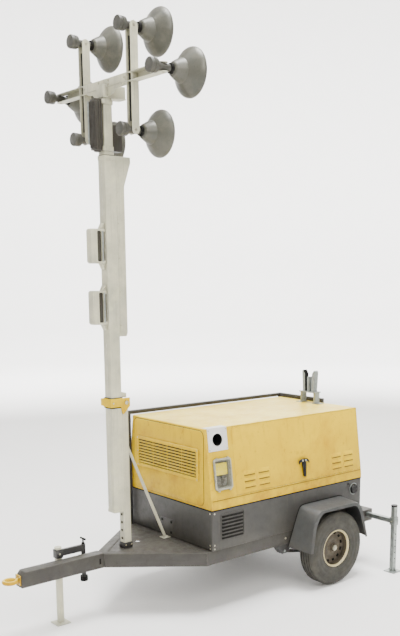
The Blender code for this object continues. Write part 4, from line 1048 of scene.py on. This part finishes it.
window = {"low": (-0.182, 0.066), "high": (-0.014, 0.304), "radius": 0.022}
low, high = window["low"], window["high"]
bezel = slab([roundedRectangle(low, high, window["radius"], 8),
              roundedRectangle(*drawnIn(low, high, 0.015), 0.012, 6)], 0.0117, 0.003, raised(0.0061))
tray = slab([roundedRectangle(*drawnIn(low, high, 0.0135), 0.013, 6),
             roundedRectangle(*drawnIn(low, high, 0.018), 0.009, 6)], 0.05, 0.0, raised(-0.02))
back = slab([roundedRectangle(*drawnIn(low, high, 0.0135), 0.013, 6)], 0.004, 0.0, raised(-0.043))
makePiece("windowBezel", greyAbs, "trailer", [bezel, tray, back], ["control_window_frame"])
breakers = []
for x in (-0.126, -0.07):
    breakers.append(onSlope((x - 0.022, 0.095, -0.0415), (x + 0.022, 0.165, -0.012), 0.002))
    breakers.append(onSlope((x - 0.018, 0.112, -0.013), (x + 0.018, 0.15, -0.005), 0.002))
    breakers.append(onSlope((x - 0.006, 0.126, -0.007), (x + 0.006, 0.148, 0.001), 0.0015))
makePiece("breakers", breakerAbsShaded, "trailer", breakers)
makePiece("controlLabel", labelVinyl, "trailer",
          [slab([roundedRectangle((-0.155, 0.178), (-0.041, 0.268), 0.003, 3)], 0.003, 0.0008, raised(-0.008)),
           onSlope((-0.15, 0.182, -0.042), (-0.046, 0.264, -0.009), 0.002)])
lidRing = slab([roundedRectangle(low, high, window["radius"], 8),
                roundedRectangle(*drawnIn(low, high, 0.013), 0.012, 6)], 0.0072, 0.002, raised(0.016))
makePiece("lidPane", clearPolycarbonate, "window_lid",
          [slab([roundedRectangle(*drawnIn(low, high, 0.0125), 0.012, 6)], 0.0022, 0.0006, raised(0.0172))],
          ["control_window_lid"])
makePiece("lidFrame", greyAbs, "window_lid", [lidRing])
clips = []
for x in (-0.152, -0.044):
    clips.append(onSlope((x - 0.01, 0.056, 0.004), (x + 0.01, 0.076, 0.0225), 0.003))
    clips.append(onSlope((x - 0.008, 0.296, 0.004), (x + 0.008, 0.312, 0.0215), 0.003))
makePiece("lidClips", platedSteel, "window_lid", clips)
print("canopy made")


# Roof hoop and cradle

carryNode("restHoop", darkEnamel, "trailer", "mast_rest_frame", 0.004, segments=3)
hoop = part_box("mast_rest_frame")
hoopBolts = []
for z in (0.56, 0.74, 0.88):
    hoopBolts += hexBolt((hoop[0].x, 0.5, z), (-1, 0, 0), 0.0065)
    hoopBolts += hexBolt((hoop[1].x, 0.5, z), (1, 0, 0), 0.0065)
for y in (-0.04, 0.02):
    hoopBolts += hexBolt((hoop[1].x, y, hoop[1].z - 0.03), (1, 0, 0), 0.007)
makePiece("hoopBolts", platedSteel, "trailer", hoopBolts)
carryNode("cradleSteel", galvanisedSteel, "trailer", "mast_cradle", 0.002, shortest=0.02)
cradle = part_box("mast_cradle")
pads = []
for side, end, label in sides:
    pads.append(slab([[(side * 0.0382, 1.524), (side * 0.04, 1.524), (side * 0.046, 1.679), (side * 0.067, 1.7125),
                       (side * 0.065, 1.7125), (side * 0.0442, 1.683)]], 0.046, 0.0008, alongX(1.375)))
pads.append(block((1.352, -0.012, 1.64), (1.398, 0.012, 1.6537), 0.003))
for solid in pads:
    bmesh.ops.recalc_face_normals(solid, faces=solid.faces)
makePiece("cradlePads", sealRubberAndShade, "trailer", pads)
cradleBolts = []
for side in (-1, 1):
    for x in (1.346, 1.404):
        cradleBolts += hexBolt((x, side * 0.118, cradle[0].z + 0.0045), (0, 0, 1), 0.006)
    cradleBolts += hexBolt((1.345, side * 0.08, 1.5), (-1, 0, 0), 0.005)
makePiece("cradleBolts", platedSteel, "trailer", cradleBolts)


# Generating set, seen through the open door

carryNode("engineBlock", castIron, "trailer", "engine", 0.006, shortest=0.04)
carryNode("alternatorCase", baseEnamel, "trailer", "alternator", 0.006, shortest=0.04)
carryNode("radiatorCore", darkEnamel, "trailer", "radiator", 0.003)
carryNode("fuelTank", blackNylon, "trailer", "fuel_tank", 0.018, segments=3)
engineBits = []
for x in (0.22, 0.33, 0.44, 0.55):
    engineBits.append(block((x, -0.12, 1.198), (x + 0.075, 0.08, 1.222), 0.008))
    engineBits += hexBolt((x + 0.0375, -0.02, 1.222), (0, 0, 1), 0.008)
for k in range(4):
    engineBits.append(tube([(0.27 + 0.1 * k, -0.15, 1.14), (0.27 + 0.1 * k, -0.2, 1.14),
                            (0.27 + 0.1 * k, -0.215, 1.09)], 0.014, 12))
for k in range(9):
    engineBits.append(block((0.17 + 0.055 * k, -0.186, 0.74), (0.18 + 0.055 * k, -0.178, 0.98), 0.002))
makePiece("engineCovers", castIron, "trailer", engineBits)
filters = [turned([(0, 0), (0.04, 0), (0.044, 0.006), (0.044, 0.1), (0.038, 0.108), (0, 0.11)], 28,
                  Matrix.Translation((0.62, -0.235, 0.78)))]
filters.append(turned([(0, 0), (0.062, 0), (0.066, 0.006), (0.066, 0.15), (0.06, 0.16), (0, 0.162)], 32,
                      between((0.3, -0.06, 1.285), (0.5, -0.06, 1.285))))
makePiece("engineFilters", blackNylon, "trailer", filters)
fins = [turned([(0.188, 0), (0.194, 0.001), (0.194, 0.005), (0.188, 0.006)], 48,
               between((0.74 + 0.028 * k, 0, 0.9), (0.8 + 0.028 * k, 0, 0.9)), closed=True) for k in range(11)]
makePiece("alternatorFins", baseEnamel, "trailer", fins)
radiatorFins = [block((-0.1295, -0.15, 0.64 + 0.012 * k), (-0.127, 0.39, 0.643 + 0.012 * k), 0.0) for k in range(49)]
makePiece("radiatorFins", darkEnamel, "trailer", radiatorFins)
print("machinery made")


# Mast

carryNode("mastPost", mastEnamel, "trailer", "mast_post", 0.005, shortest=0.1, segments=3)
makePiece("postCap", darkEnamel, "trailer",
          [slab([roundedRectangle((post[0].x - 0.006, -0.038), (post[1].x + 0.006, 0.038), 0.008),
                 roundedRectangle((-0.6545, -0.0295), (-0.5955, 0.0295), 0.004)], 0.044, 0.003, plan(0.516))])
carryNode("mastBrace", mastEnamel, "trailer", "mast_brace", 0.002)
braceBolts = []
for x in (-0.277, -0.24):
    braceBolts += hexBolt((x, -0.02, 0.4995), (0, 0, 1), 0.006)
    braceBolts += hexBolt((x, 0.02, 0.4995), (0, 0, 1), 0.006)
braceBolts += hexBolt((-0.585, -0.009, 1.268), (0, -1, 0), 0.006)
braceBolts += hexBolt((-0.585, 0.009, 1.268), (0, 1, 0), 0.006)
tilt = {"x": -0.625, "z": 1.615}
for side in (-1, 1):
    for x in (-0.6, -0.65):
        braceBolts += hexBolt((x, side * 0.038, 0.52), (0, side, 0), 0.006)
makePiece("braceBolts", platedSteel, "trailer", braceBolts)
pinCups = []
for i in range(4):
    spot = between((post[0].x - 0.0005, 0, 0.57 + 0.062 * i), (post[0].x - 1, 0, 0.57 + 0.062 * i))
    pinCups.append(turned([(0.0066, -0.004), (0.0066, 0.0012), (0.0085, 0.0018), (0.01, 0.001), (0.01, 0.0)], 24,
                          spot, closed=True))
makePiece("postPinHoles", sealRubberAndShade, "trailer", pinCups)

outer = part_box("mast_outer")
mastX = -0.704
carryNode("mastOuter", mastEnamel, "mast_lower", "mast_outer", 0.007, shortest=0.5, segments=3)
carryNode("mastMiddle", mastEnamel, "mast_middle", "mast_middle", 0.006, shortest=0.5, segments=3)
carryNode("mastInner", mastEnamel, "mast_upper", "mast_top", 0.005, shortest=0.5, segments=3)


def squareRing(x, half, wall, low, high, rounding=0.0015, corner=0.006):  # a band round a square tube
    return slab([roundedRectangle((x - half, -half), (x + half, half), corner, 4),
                 roundedRectangle((x - half + wall, -half + wall), (x + half - wall, half - wall),
                                  max(0.002, corner - wall), 4)], high - low, rounding, plan((low + high) / 2))


bands = [squareRing(mastX, 0.047, 0.003, outer[1].z - 0.03, outer[1].z, corner=0.009)]
bands.append(squareRing(mastX, 0.0465, 0.0025, outer[0].z, outer[0].z + 0.022, corner=0.009))
makePiece("mastBands", mastEnamel, "mast_lower", bands)
makePiece("wearPads", blackNylon, "mast_lower",
          [squareRing(mastX, 0.0436, 0.0028, outer[1].z - 0.02, outer[1].z + 0.004, 0.0008, 0.005)])
# the tube's welded seam
seams = [block((mastX - 0.0446, -0.0035, outer[0].z + 0.05), (mastX - 0.0436, 0.0035, 2.05), 0.0003),
         block((mastX - 0.0446, -0.0035, 2.95), (mastX - 0.0436, 0.0035, outer[1].z - 0.04), 0.0003)]
makePiece("mastSeam", mastEnamel, "mast_lower", seams)

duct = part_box("cable_duct")
carryNode("cableDuct", mastEnamel, "mast_lower", "cable_duct", 0.004, shortest=0.05)
ductScrews = []
for z in (2.18, 2.42, 2.66, 2.9, 3.12):
    for side in (-1, 1):
        ductScrews += hexBolt((duct[0].x + 0.02, side * 0.03, z), (0, side, 0), 0.0045)
makePiece("ductScrews", platedSteel, "mast_lower", ductScrews)

for name, label in (("cable_hanger_lower", "Lower"), ("cable_hanger_upper", "Upper")):
    low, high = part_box(name)
    mastFace = mastX - 0.0443
    ring = slab([roundedRectangle((low.x + 0.004, low.z), (mastFace, high.z), 0.01),
                 roundedRectangle((low.x + 0.054, low.z + 0.014), (low.x + 0.09, high.z - 0.014), 0.008, 6),
                 roundedRectangle((low.x + 0.104, low.z + 0.02), (mastFace - 0.002, high.z - 0.02), 0.005, 6)], 0.058,
                0.0025, standing(0))
    cover = slab([roundedRectangle((low.x, low.z + 0.004), (low.x + 0.05, high.z - 0.004), 0.012)], 0.066, 0.004,
                 standing(0))
    tabs = []
    for z, reach in ((high.z + 0.022, 1), (low.z - 0.022, -1)):
        tab = [(mastFace - 0.034, z - reach * 0.022), (mastFace, z - reach * 0.022), (mastFace, z + reach * 0.018),
               (mastFace - 0.014, z + reach * 0.018)]
        tabs.append(slab([tab], 0.04, 0.0015, standing(0)))
    for solid in tabs:
        bmesh.ops.recalc_face_normals(solid, faces=solid.faces)
    makePiece("hangerFrame" + label, mastEnamel, "mast_lower", [ring, cover] + tabs, [name])
    coreLow, coreHigh = low.z + 0.014, high.z - 0.014
    strips = [block((low.x + 0.0915, y - 0.0015, coreLow), (low.x + 0.1025, y + 0.0015, coreHigh), 0.001)
              for y in (-0.03, 0.03)]
    makePiece("hangerStrip" + label, galvanisedSteel, "mast_lower", strips)
    makePiece("hangerCore" + label, bronzeEnamel, "mast_lower",
              [block((low.x + 0.05, -0.017, coreLow - 0.004), (low.x + 0.094, 0.017, coreHigh + 0.004), 0.004)]
              + [rod((low.x + 0.06 + 0.012 * k, 0, coreLow - 0.002), (low.x + 0.06 + 0.012 * k, 0, coreHigh + 0.002),
                     0.0045, 14) for k in range(3)])
    tabBolts = []
    for z in (high.z + 0.02, low.z - 0.022):
        for side in (-1, 1):
            tabBolts += hexBolt((mastFace - 0.013, side * 0.02, z), (0, side, 0), 0.005)
    makePiece("hangerBolts" + label, platedSteel, "mast_lower", tabBolts)

carryNode("pivotCollar", yellowPowderCoat, "mast_lower", "pivot_collar", 0.003, shortest=0.02)
collarBolts = []
for side in (-1, 1):
    collarBolts += hexBolt((tilt["x"], side * 0.0585, tilt["z"]), (0, side, 0), 0.013)
    collarBolts += hexBolt((-0.735, side * 0.052, 1.617), (0, side, 0), 0.006)
makePiece("collarBolts", platedSteel, "mast_lower", collarBolts)
makePiece("collarLiner", sealRubberAndShade, "mast_lower",
          [squareRing(mastX, 0.0498, 0.0052, 1.5775, 1.5865, 0.0008, 0.006),
           squareRing(mastX, 0.049, 0.0044, 1.649, 1.6555, 0.0008, 0.006)])

carryNode("junctionBox", bronzeEnamel, "mast_upper", "junction_box", 0.003, shortest=0.02)
caseLow, caseHigh = 3.392, 3.729
ribs, rearX = [], -0.804
for k in range(5):
    y = -0.036 + 0.018 * k
    ribs.append(rod((rearX - 0.001, y, caseLow + 0.016), (rearX - 0.001, y, caseHigh - 0.014), 0.0055, 12))
for k in range(3):
    x = -0.795 + 0.018 * k
    for side in (-1, 1):
        ribs.append(rod((x, side * 0.0362, caseLow + 0.016), (x, side * 0.0362, caseHigh - 0.014), 0.005, 12))
ribs.append(moved(turned([(0, -0.014), (0.02, -0.011), (0.031, 0.0), (0.033, 0.006), (0, 0.006)], 24),
                  Matrix.Translation((-0.7765, 0, caseLow))))
makePiece("junctionRibs", bronzeEnamel, "mast_upper", ribs)
clamps = [squareRing(mastX, 0.04, 0.0042, z, z + 0.03, 0.001, 0.006) for z in (3.391, 3.699)]
for z in (3.406, 3.714):
    for side in (-1, 1):
        clamps.append(block((mastX - 0.052, side * 0.043 - 0.008, z - 0.014),
                            (mastX - 0.03, side * 0.043 + 0.008, z + 0.014), 0.003))
makePiece("junctionClamps", mastEnamel, "mast_upper", clamps)
stays = [tube([(-0.8, 0.062, 3.72), (-0.8, 0.062, 3.44), (-0.78, 0.05, 3.425)], 0.0075, 12),
         tube([(-0.775, 0.056, 3.72), (-0.775, 0.056, 3.42)], 0.005, 12)]
makePiece("junctionStays", galvanisedSteel, "mast_upper", stays)
print("mast made")


# Lamp frame and floodlights

lampBar = {"pivotX": -0.675, "crossZ": 3.84, "barY": 0.3, "lowZ": 3.5, "topZ": 4.16, "crossY": 0.65}
carryNode("lampFrame", mastEnamel, "mast_upper", "lamp_frame", 0.0015, shortest=0.03)
# dark strips inside each channel bar, on its far flange: painted shade
shadeStripX, shadeStripY = lampBar["pivotX"], 0.0215
channelShadeStrips = [block((shadeStripX - 0.013, y + shadeStripY - 0.003, lampBar["lowZ"] + 0.06),
                (shadeStripX + 0.013, y + shadeStripY, lampBar["topZ"] - 0.06), 0.0008)
          for y in (-lampBar["barY"], lampBar["barY"])]
makePiece("channelShade", darkEnamel, "mast_upper", channelShadeStrips)
gusset = []
for side in (-1, 1):
    plateLine = [(side * 0.04, 3.812), (side * 0.24, 3.812), (side * 0.205, 3.79), (side * 0.15, 3.786),
                 (side * 0.12, 3.76), (side * 0.04, 3.752)]
    gusset.append(slab([plateLine], 0.008, 0.0015, alongX(lampBar["pivotX"] - 0.03)))
for solid in gusset:
    bmesh.ops.recalc_face_normals(solid, faces=solid.faces)
gusset.append(block((-0.745, -0.044, 3.744), (-0.557, 0.044, 3.752), 0.002))
makePiece("headGussets", mastEnamel, "mast_upper", gusset)
frameBolts = []
for side in (-1, 1):
    frameBolts += hexBolt((lampBar["pivotX"] - 0.0362, side * 0.255, 3.84), (-1, 0, 0), 0.007)
    frameBolts += hexBolt((lampBar["pivotX"] - 0.0362, side * 0.06, 3.852), (-1, 0, 0), 0.007)
    frameBolts += hexBolt((lampBar["pivotX"] - 0.0362, side * 0.06, 3.828), (-1, 0, 0), 0.007)
makePiece("frameScrews", platedSteel, "mast_upper", frameBolts)

bell = {"steps": 88, "bowlSteps": 64, "lensSteps": 72, "bulbSteps": 28, "holderSteps": 44}
bellOutside = [(0.0235, 0.062), (0.033, 0.066), (0.044, 0.07), (0.0475, 0.074), (0.05, 0.077), (0.0505, 0.08),
               (0.056, 0.089), (0.064, 0.103), (0.072, 0.119), (0.0785, 0.133), (0.08, 0.1375), (0.0798, 0.14),
               (0.085, 0.144), (0.093, 0.151), (0.104, 0.16), (0.116, 0.1695), (0.128, 0.1795), (0.139, 0.189),
               (0.148, 0.198), (0.1545, 0.2065), (0.1585, 0.2145), (0.16, 0.2215), (0.1598, 0.2275), (0.158, 0.2305),
               (0.1555, 0.2308)]
bellInside = [(0.1545, 0.229), (0.154, 0.224), (0.149, 0.211), (0.133, 0.192), (0.11, 0.172), (0.09, 0.156),
              (0.074, 0.14), (0.06, 0.112), (0.046, 0.09), (0.03, 0.082), (0, 0.0815)]
reflector = [(0.0, 0.0835), (0.03, 0.0845), (0.046, 0.0935), (0.0585, 0.113), (0.0725, 0.14), (0.0885, 0.1565),
             (0.1085, 0.1725), (0.1315, 0.1925), (0.147, 0.212), (0.147, 0.214), (0.131, 0.1945), (0.1078, 0.1745),
             (0.0877, 0.158), (0.0715, 0.1412), (0.0575, 0.114), (0.045, 0.095), (0.03, 0.086), (0.0, 0.085)]
lampSpots = {"top_near": (-lampBar["barY"], lampBar["topZ"], (0, 1, 0)),
             "top_far": (lampBar["barY"], lampBar["topZ"], (0, 1, 0)),
             "side_near": (-lampBar["crossY"], lampBar["crossZ"], (0, 0, 1)),
             "side_far": (lampBar["crossY"], lampBar["crossZ"], (0, 0, 1)),
             "low_near": (-lampBar["barY"], lampBar["lowZ"], (0, 1, 0)),
             "low_far": (lampBar["barY"], lampBar["lowZ"], (0, 1, 0))}  # each pivot's Y and Z, and how its pin runs
for name, (y, z, pinAxis) in lampSpots.items():
    at = Vector((lampBar["pivotX"], y, z))
    place = Matrix.Translation(at) @ Matrix.Rotation(math.pi / 2, 4, "Y")
    bodyName = "lamp_" + name
    label = "".join(word.capitalize() for word in name.split("_"))
    makePiece("bell" + label, lampEnamel, bodyName, [turned(bellOutside + bellInside, bell["steps"], place)],
              ["lamp_bell_" + name], crease=28)
    makePiece("reflector" + label, anodisedReflector, bodyName, [turned(reflector, bell["bowlSteps"], place)])
    bulb = turned([(0, 0.082), (0.016, 0.082), (0.016, 0.1), (0.011, 0.104), (0.011, 0.112), (0.024, 0.126),
                   (0.029, 0.142), (0.026, 0.158), (0.014, 0.17), (0, 0.173)], bell["bulbSteps"], place)
    makePiece("bulb" + label, toughenedGlass, bodyName, [bulb])
    lens = turned([(0, 0.2275), (0.06, 0.2272), (0.12, 0.2262), (0.15, 0.2245), (0.1515, 0.2235), (0.15, 0.2222),
                   (0.12, 0.2236), (0.06, 0.2245), (0, 0.2248)], bell["lensSteps"], place)
    makePiece("lens" + label, toughenedGlass, bodyName, [lens], ["lamp_lens_" + name])
    ringLine = [(0.15, 0.2245), (0.15, 0.229), (0.152, 0.2318), (0.156, 0.2318), (0.157, 0.23), (0.156, 0.2245)]
    makePiece("lensRing" + label, lampEnamel, bodyName, [turned(ringLine, bell["lensSteps"], place, closed=True)])
    holder = [turned([(0, 0.076), (0.0235, 0.076), (0.0235, 0.03), (0.0235, -0.052), (0.03, -0.0555), (0.044, -0.059),
                      (0.0455, -0.064), (0.046, -0.086), (0.043, -0.087), (0.043, -0.092), (0.0465, -0.0935),
                      (0.0472, -0.109), (0.0445, -0.1145), (0.038, -0.116), (0, -0.116)], bell["holderSteps"], place)]
    makePiece("holder" + label, holderEnamel, bodyName, holder, ["lamp_holder_" + name])
    axis = Vector(pinAxis)
    pins = [rod(at - axis * 0.0338, at + axis * 0.0338, 0.0062, 20)]
    pins += hexBolt(at + axis * 0.0305, axis, 0.0085) + hexBolt(at - axis * 0.0305, -axis, 0.0085)
    makePiece("lampPin" + label, platedSteel, bodyName, pins)
    collarLine = [(0.0236, 0.046), (0.03, 0.046), (0.033, 0.049), (0.034, 0.06), (0.033, 0.066), (0.0236, 0.068)]
    makePiece("lampSeal" + label, sealRubberAndShade, bodyName, [turned(collarLine, 36, place, closed=True)])
print("lamps made")


# Stands

for side, end, label in sides:
    carryNode("outriggerArm" + label, galvanisedSteel, "outrigger_arm_" + end, "outrigger_arm_" + end, 0.003)
    carryNode("outriggerLeg" + label, galvanisedSteel, "outrigger_leg_" + end, "outrigger_leg_" + end, 0.0025,
              shortest=0.02)
    legLow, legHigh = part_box("outrigger_leg_" + end)
    x, y = (legLow.x + legHigh.x) / 2, (legLow.y + legHigh.y) / 2
    makePiece("legCap" + label, blackNylon, "outrigger_leg_" + end,
              [turned([(0, 0.0), (0.027, 0.0), (0.0285, 0.003), (0.0285, 0.011), (0.025, 0.0155), (0, 0.0165)], 32,
                      Matrix.Translation((x, y, 0.583)))])
    gussets = []
    for dx, dy in ((1, 0), (-1, 0), (0, 1), (0, -1)):
        line = [(0.019, 0.007), (0.046, 0.007), (0.046, 0.01), (0.019, 0.04)]
        outward = Vector((dx, dy, 0)).to_track_quat("X", "Z").to_matrix().to_4x4()
        upright = Matrix.Translation((x, y, 0)) @ outward @ Matrix.Rotation(math.pi / 2, 4, "X")
        gussets.append(slab([line], 0.005, 0.001, upright))
    makePiece("footGussets" + label, galvanisedSteel, "outrigger_leg_" + end, gussets)
    # dark discs on the leg's faces mark its holes as painted shade
    holes = []
    for k in range(5):
        for face in (-1, 1):
            spot = between((x, y + face * 0.02, 0.12 + 0.055 * k), (x, y + face * 1, 0.12 + 0.055 * k))
            holes.append(turned([(0, -0.001), (0.0062, -0.001), (0.0062, 0.0004), (0, 0.0004)], 20, spot))
    makePiece("legHoles" + label, sealRubberAndShade, "outrigger_leg_" + end, holes)
    lockPin = [tube([(x - 0.045, y, 0.455), (x + 0.04, y, 0.455)], 0.005, 12),
               tube([(x + 0.04, y, 0.455), (x + 0.05, y, 0.46), (x + 0.05, y, 0.48), (x + 0.044, y, 0.486)], 0.003,
                    10)]
    makePiece("lockPin" + label, platedSteel, "outrigger_arm_" + end, lockPin)

pivotX, propX, propY = -0.95, -1.16, 0.085
carryNode("propArm", darkEnamel, "prop_arm", "prop_arm", 0.003, shortest=0.02)
carryNode("propLeg", mastEnamel, "prop_leg", "prop_leg", 0.0025, shortest=0.02)
knob = turned([(0.017, 0.279), (0.026, 0.28), (0.0285, 0.284), (0.0285, 0.316), (0.026, 0.3205), (0.017, 0.321)], 32,
              Matrix.Translation((pivotX, propY, 0)), closed=True)
makePiece("propKnob", sealRubberAndShade, "prop_arm", [knob])
handle = [tube([(pivotX, propY - 0.032, 0.6065), (pivotX, propY + 0.032, 0.6065)], 0.0075, 14),
          turned([(0, 0), (0.01, 0), (0.012, 0.002), (0.012, 0.01), (0.009, 0.014), (0, 0.014)], 24,
                 Matrix.Translation((pivotX, propY, 0.564)))]
makePiece("propHandle", sealRubberAndShade, "prop_arm", handle)
makePiece("propBolts", platedSteel, "prop_arm",
          hexBolt((propX, propY + 0.027, 0.536), (0, 1, 0), 0.007)
          + hexBolt((propX, propY - 0.027, 0.536), (0, -1, 0), 0.007))
print("stands made")


# Floor, light and camera

studio = bpy.data.materials.new("studioFloor")  # plain matt floor paint, pale and even
studio.use_nodes = True
floorTree = studio.node_tree
floorShader = floorTree.nodes["Principled BSDF"]
floorPlace = addNode(floorTree, "ShaderNodeTexCoord").outputs["Object"]
floorNoise = addNode(floorTree, "ShaderNodeTexNoise", {"Scale": 1.2, "Detail": 3.0}, {"Vector": floorPlace})
floorColour = addNode(floorTree, "ShaderNodeMix", {"data_type": "RGBA", 6: linear("F1F0EE"), 7: linear("F5F4F2")},
                      {0: floorNoise.outputs["Fac"]})
floorTree.links.new(floorColour.outputs[2], floorShader.inputs["Base Color"])
floorShader.inputs["Roughness"].default_value = 0.75
sweep = turned([(0, -0.0005), (12, -0.0005), (20, -0.0005), (24, 0.8), (27, 3.0), (28.5, 6.5), (29, 14.0),
                (29, 40.0)], 64)
bmesh.ops.recalc_face_normals(sweep, faces=sweep.faces)
floorMesh = bpy.data.meshes.new("studioFloor")
sweep.to_mesh(floorMesh)
sweep.free()
floorMesh.polygons.foreach_set("use_smooth", [True] * len(floorMesh.polygons))
floorMesh.materials.append(studio)
floor = bpy.data.objects.new("studioFloor", floorMesh)
bpy.context.scene.collection.objects.link(floor)
floor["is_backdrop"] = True

lights = {
    "key": {"at": (-3.0, -9.0, 8.0), "size": 6.0, "power": 820, "colour": (1.0, 0.98, 0.94)},
    "fill": {"at": (-10.0, 1.0, 5.0), "size": 6.0, "power": 40, "colour": (0.95, 0.97, 1.0)},
    "top": {"at": (0.0, -1.0, 13.0), "size": 6.0, "power": 3700, "colour": (1.0, 1.0, 1.0)},
    "wallLeft": {"at": (4.0, 11.0, 9.0), "size": 7.0, "power": 6300, "colour": (1.0, 1.0, 1.0)},
    "wallRight": {"at": (12.0, 5.0, 9.0), "size": 7.0, "power": 6300, "colour": (1.0, 1.0, 1.0)},
    "rear": {"at": (8.0, 7.0, 7.0), "size": 6.0, "power": 300, "colour": (1.0, 1.0, 1.0)},
}
aims = {"wallLeft": (8.0, 22.0, 6.0), "wallRight": (22.0, 12.0, 6.0)}
for name, setting in lights.items():
    lamp = bpy.data.lights.new(name, "AREA")
    lamp.shape = "SQUARE"
    lamp.size = setting["size"]
    lamp.energy = setting["power"]
    lamp.color = setting["colour"]
    holder = bpy.data.objects.new(name, lamp)
    holder.location = setting["at"]
    holder.rotation_mode = "QUATERNION"
    holder.rotation_quaternion = (Vector(aims.get(name, (0, 0, 1.4))) - Vector(setting["at"])).to_track_quat("-Z",
        "Y")
    holder.visible_camera = False
    bpy.context.scene.collection.objects.link(holder)

world = bpy.context.scene.world or bpy.data.worlds.new("studio")
bpy.context.scene.world = world
world.use_nodes = True
background = world.node_tree.nodes.get("Background") or world.node_tree.nodes.new("ShaderNodeBackground")
background.inputs["Color"].default_value = (1.0, 1.0, 1.0, 1.0)
background.inputs["Strength"].default_value = 0.5

view = {"at": (-4.075, -5.269, 2.497), "along": (0.6556, 0.7343, -0.1761), "lens": 47.86, "shift": (-0.0758, 0.18)}
cameraData = bpy.data.cameras.new("camera")
cameraData.lens = view["lens"]
cameraData.sensor_width = 36.0
cameraData.shift_x, cameraData.shift_y = view["shift"]
cameraData.clip_start, cameraData.clip_end = 0.1, 100.0
camera = bpy.data.objects.new("camera", cameraData)
camera.location = view["at"]
camera.rotation_mode = "QUATERNION"
camera.rotation_quaternion = Vector(view["along"]).to_track_quat("-Z", "Y")
bpy.context.scene.collection.objects.link(camera)
bpy.context.scene.camera = camera

low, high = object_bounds()
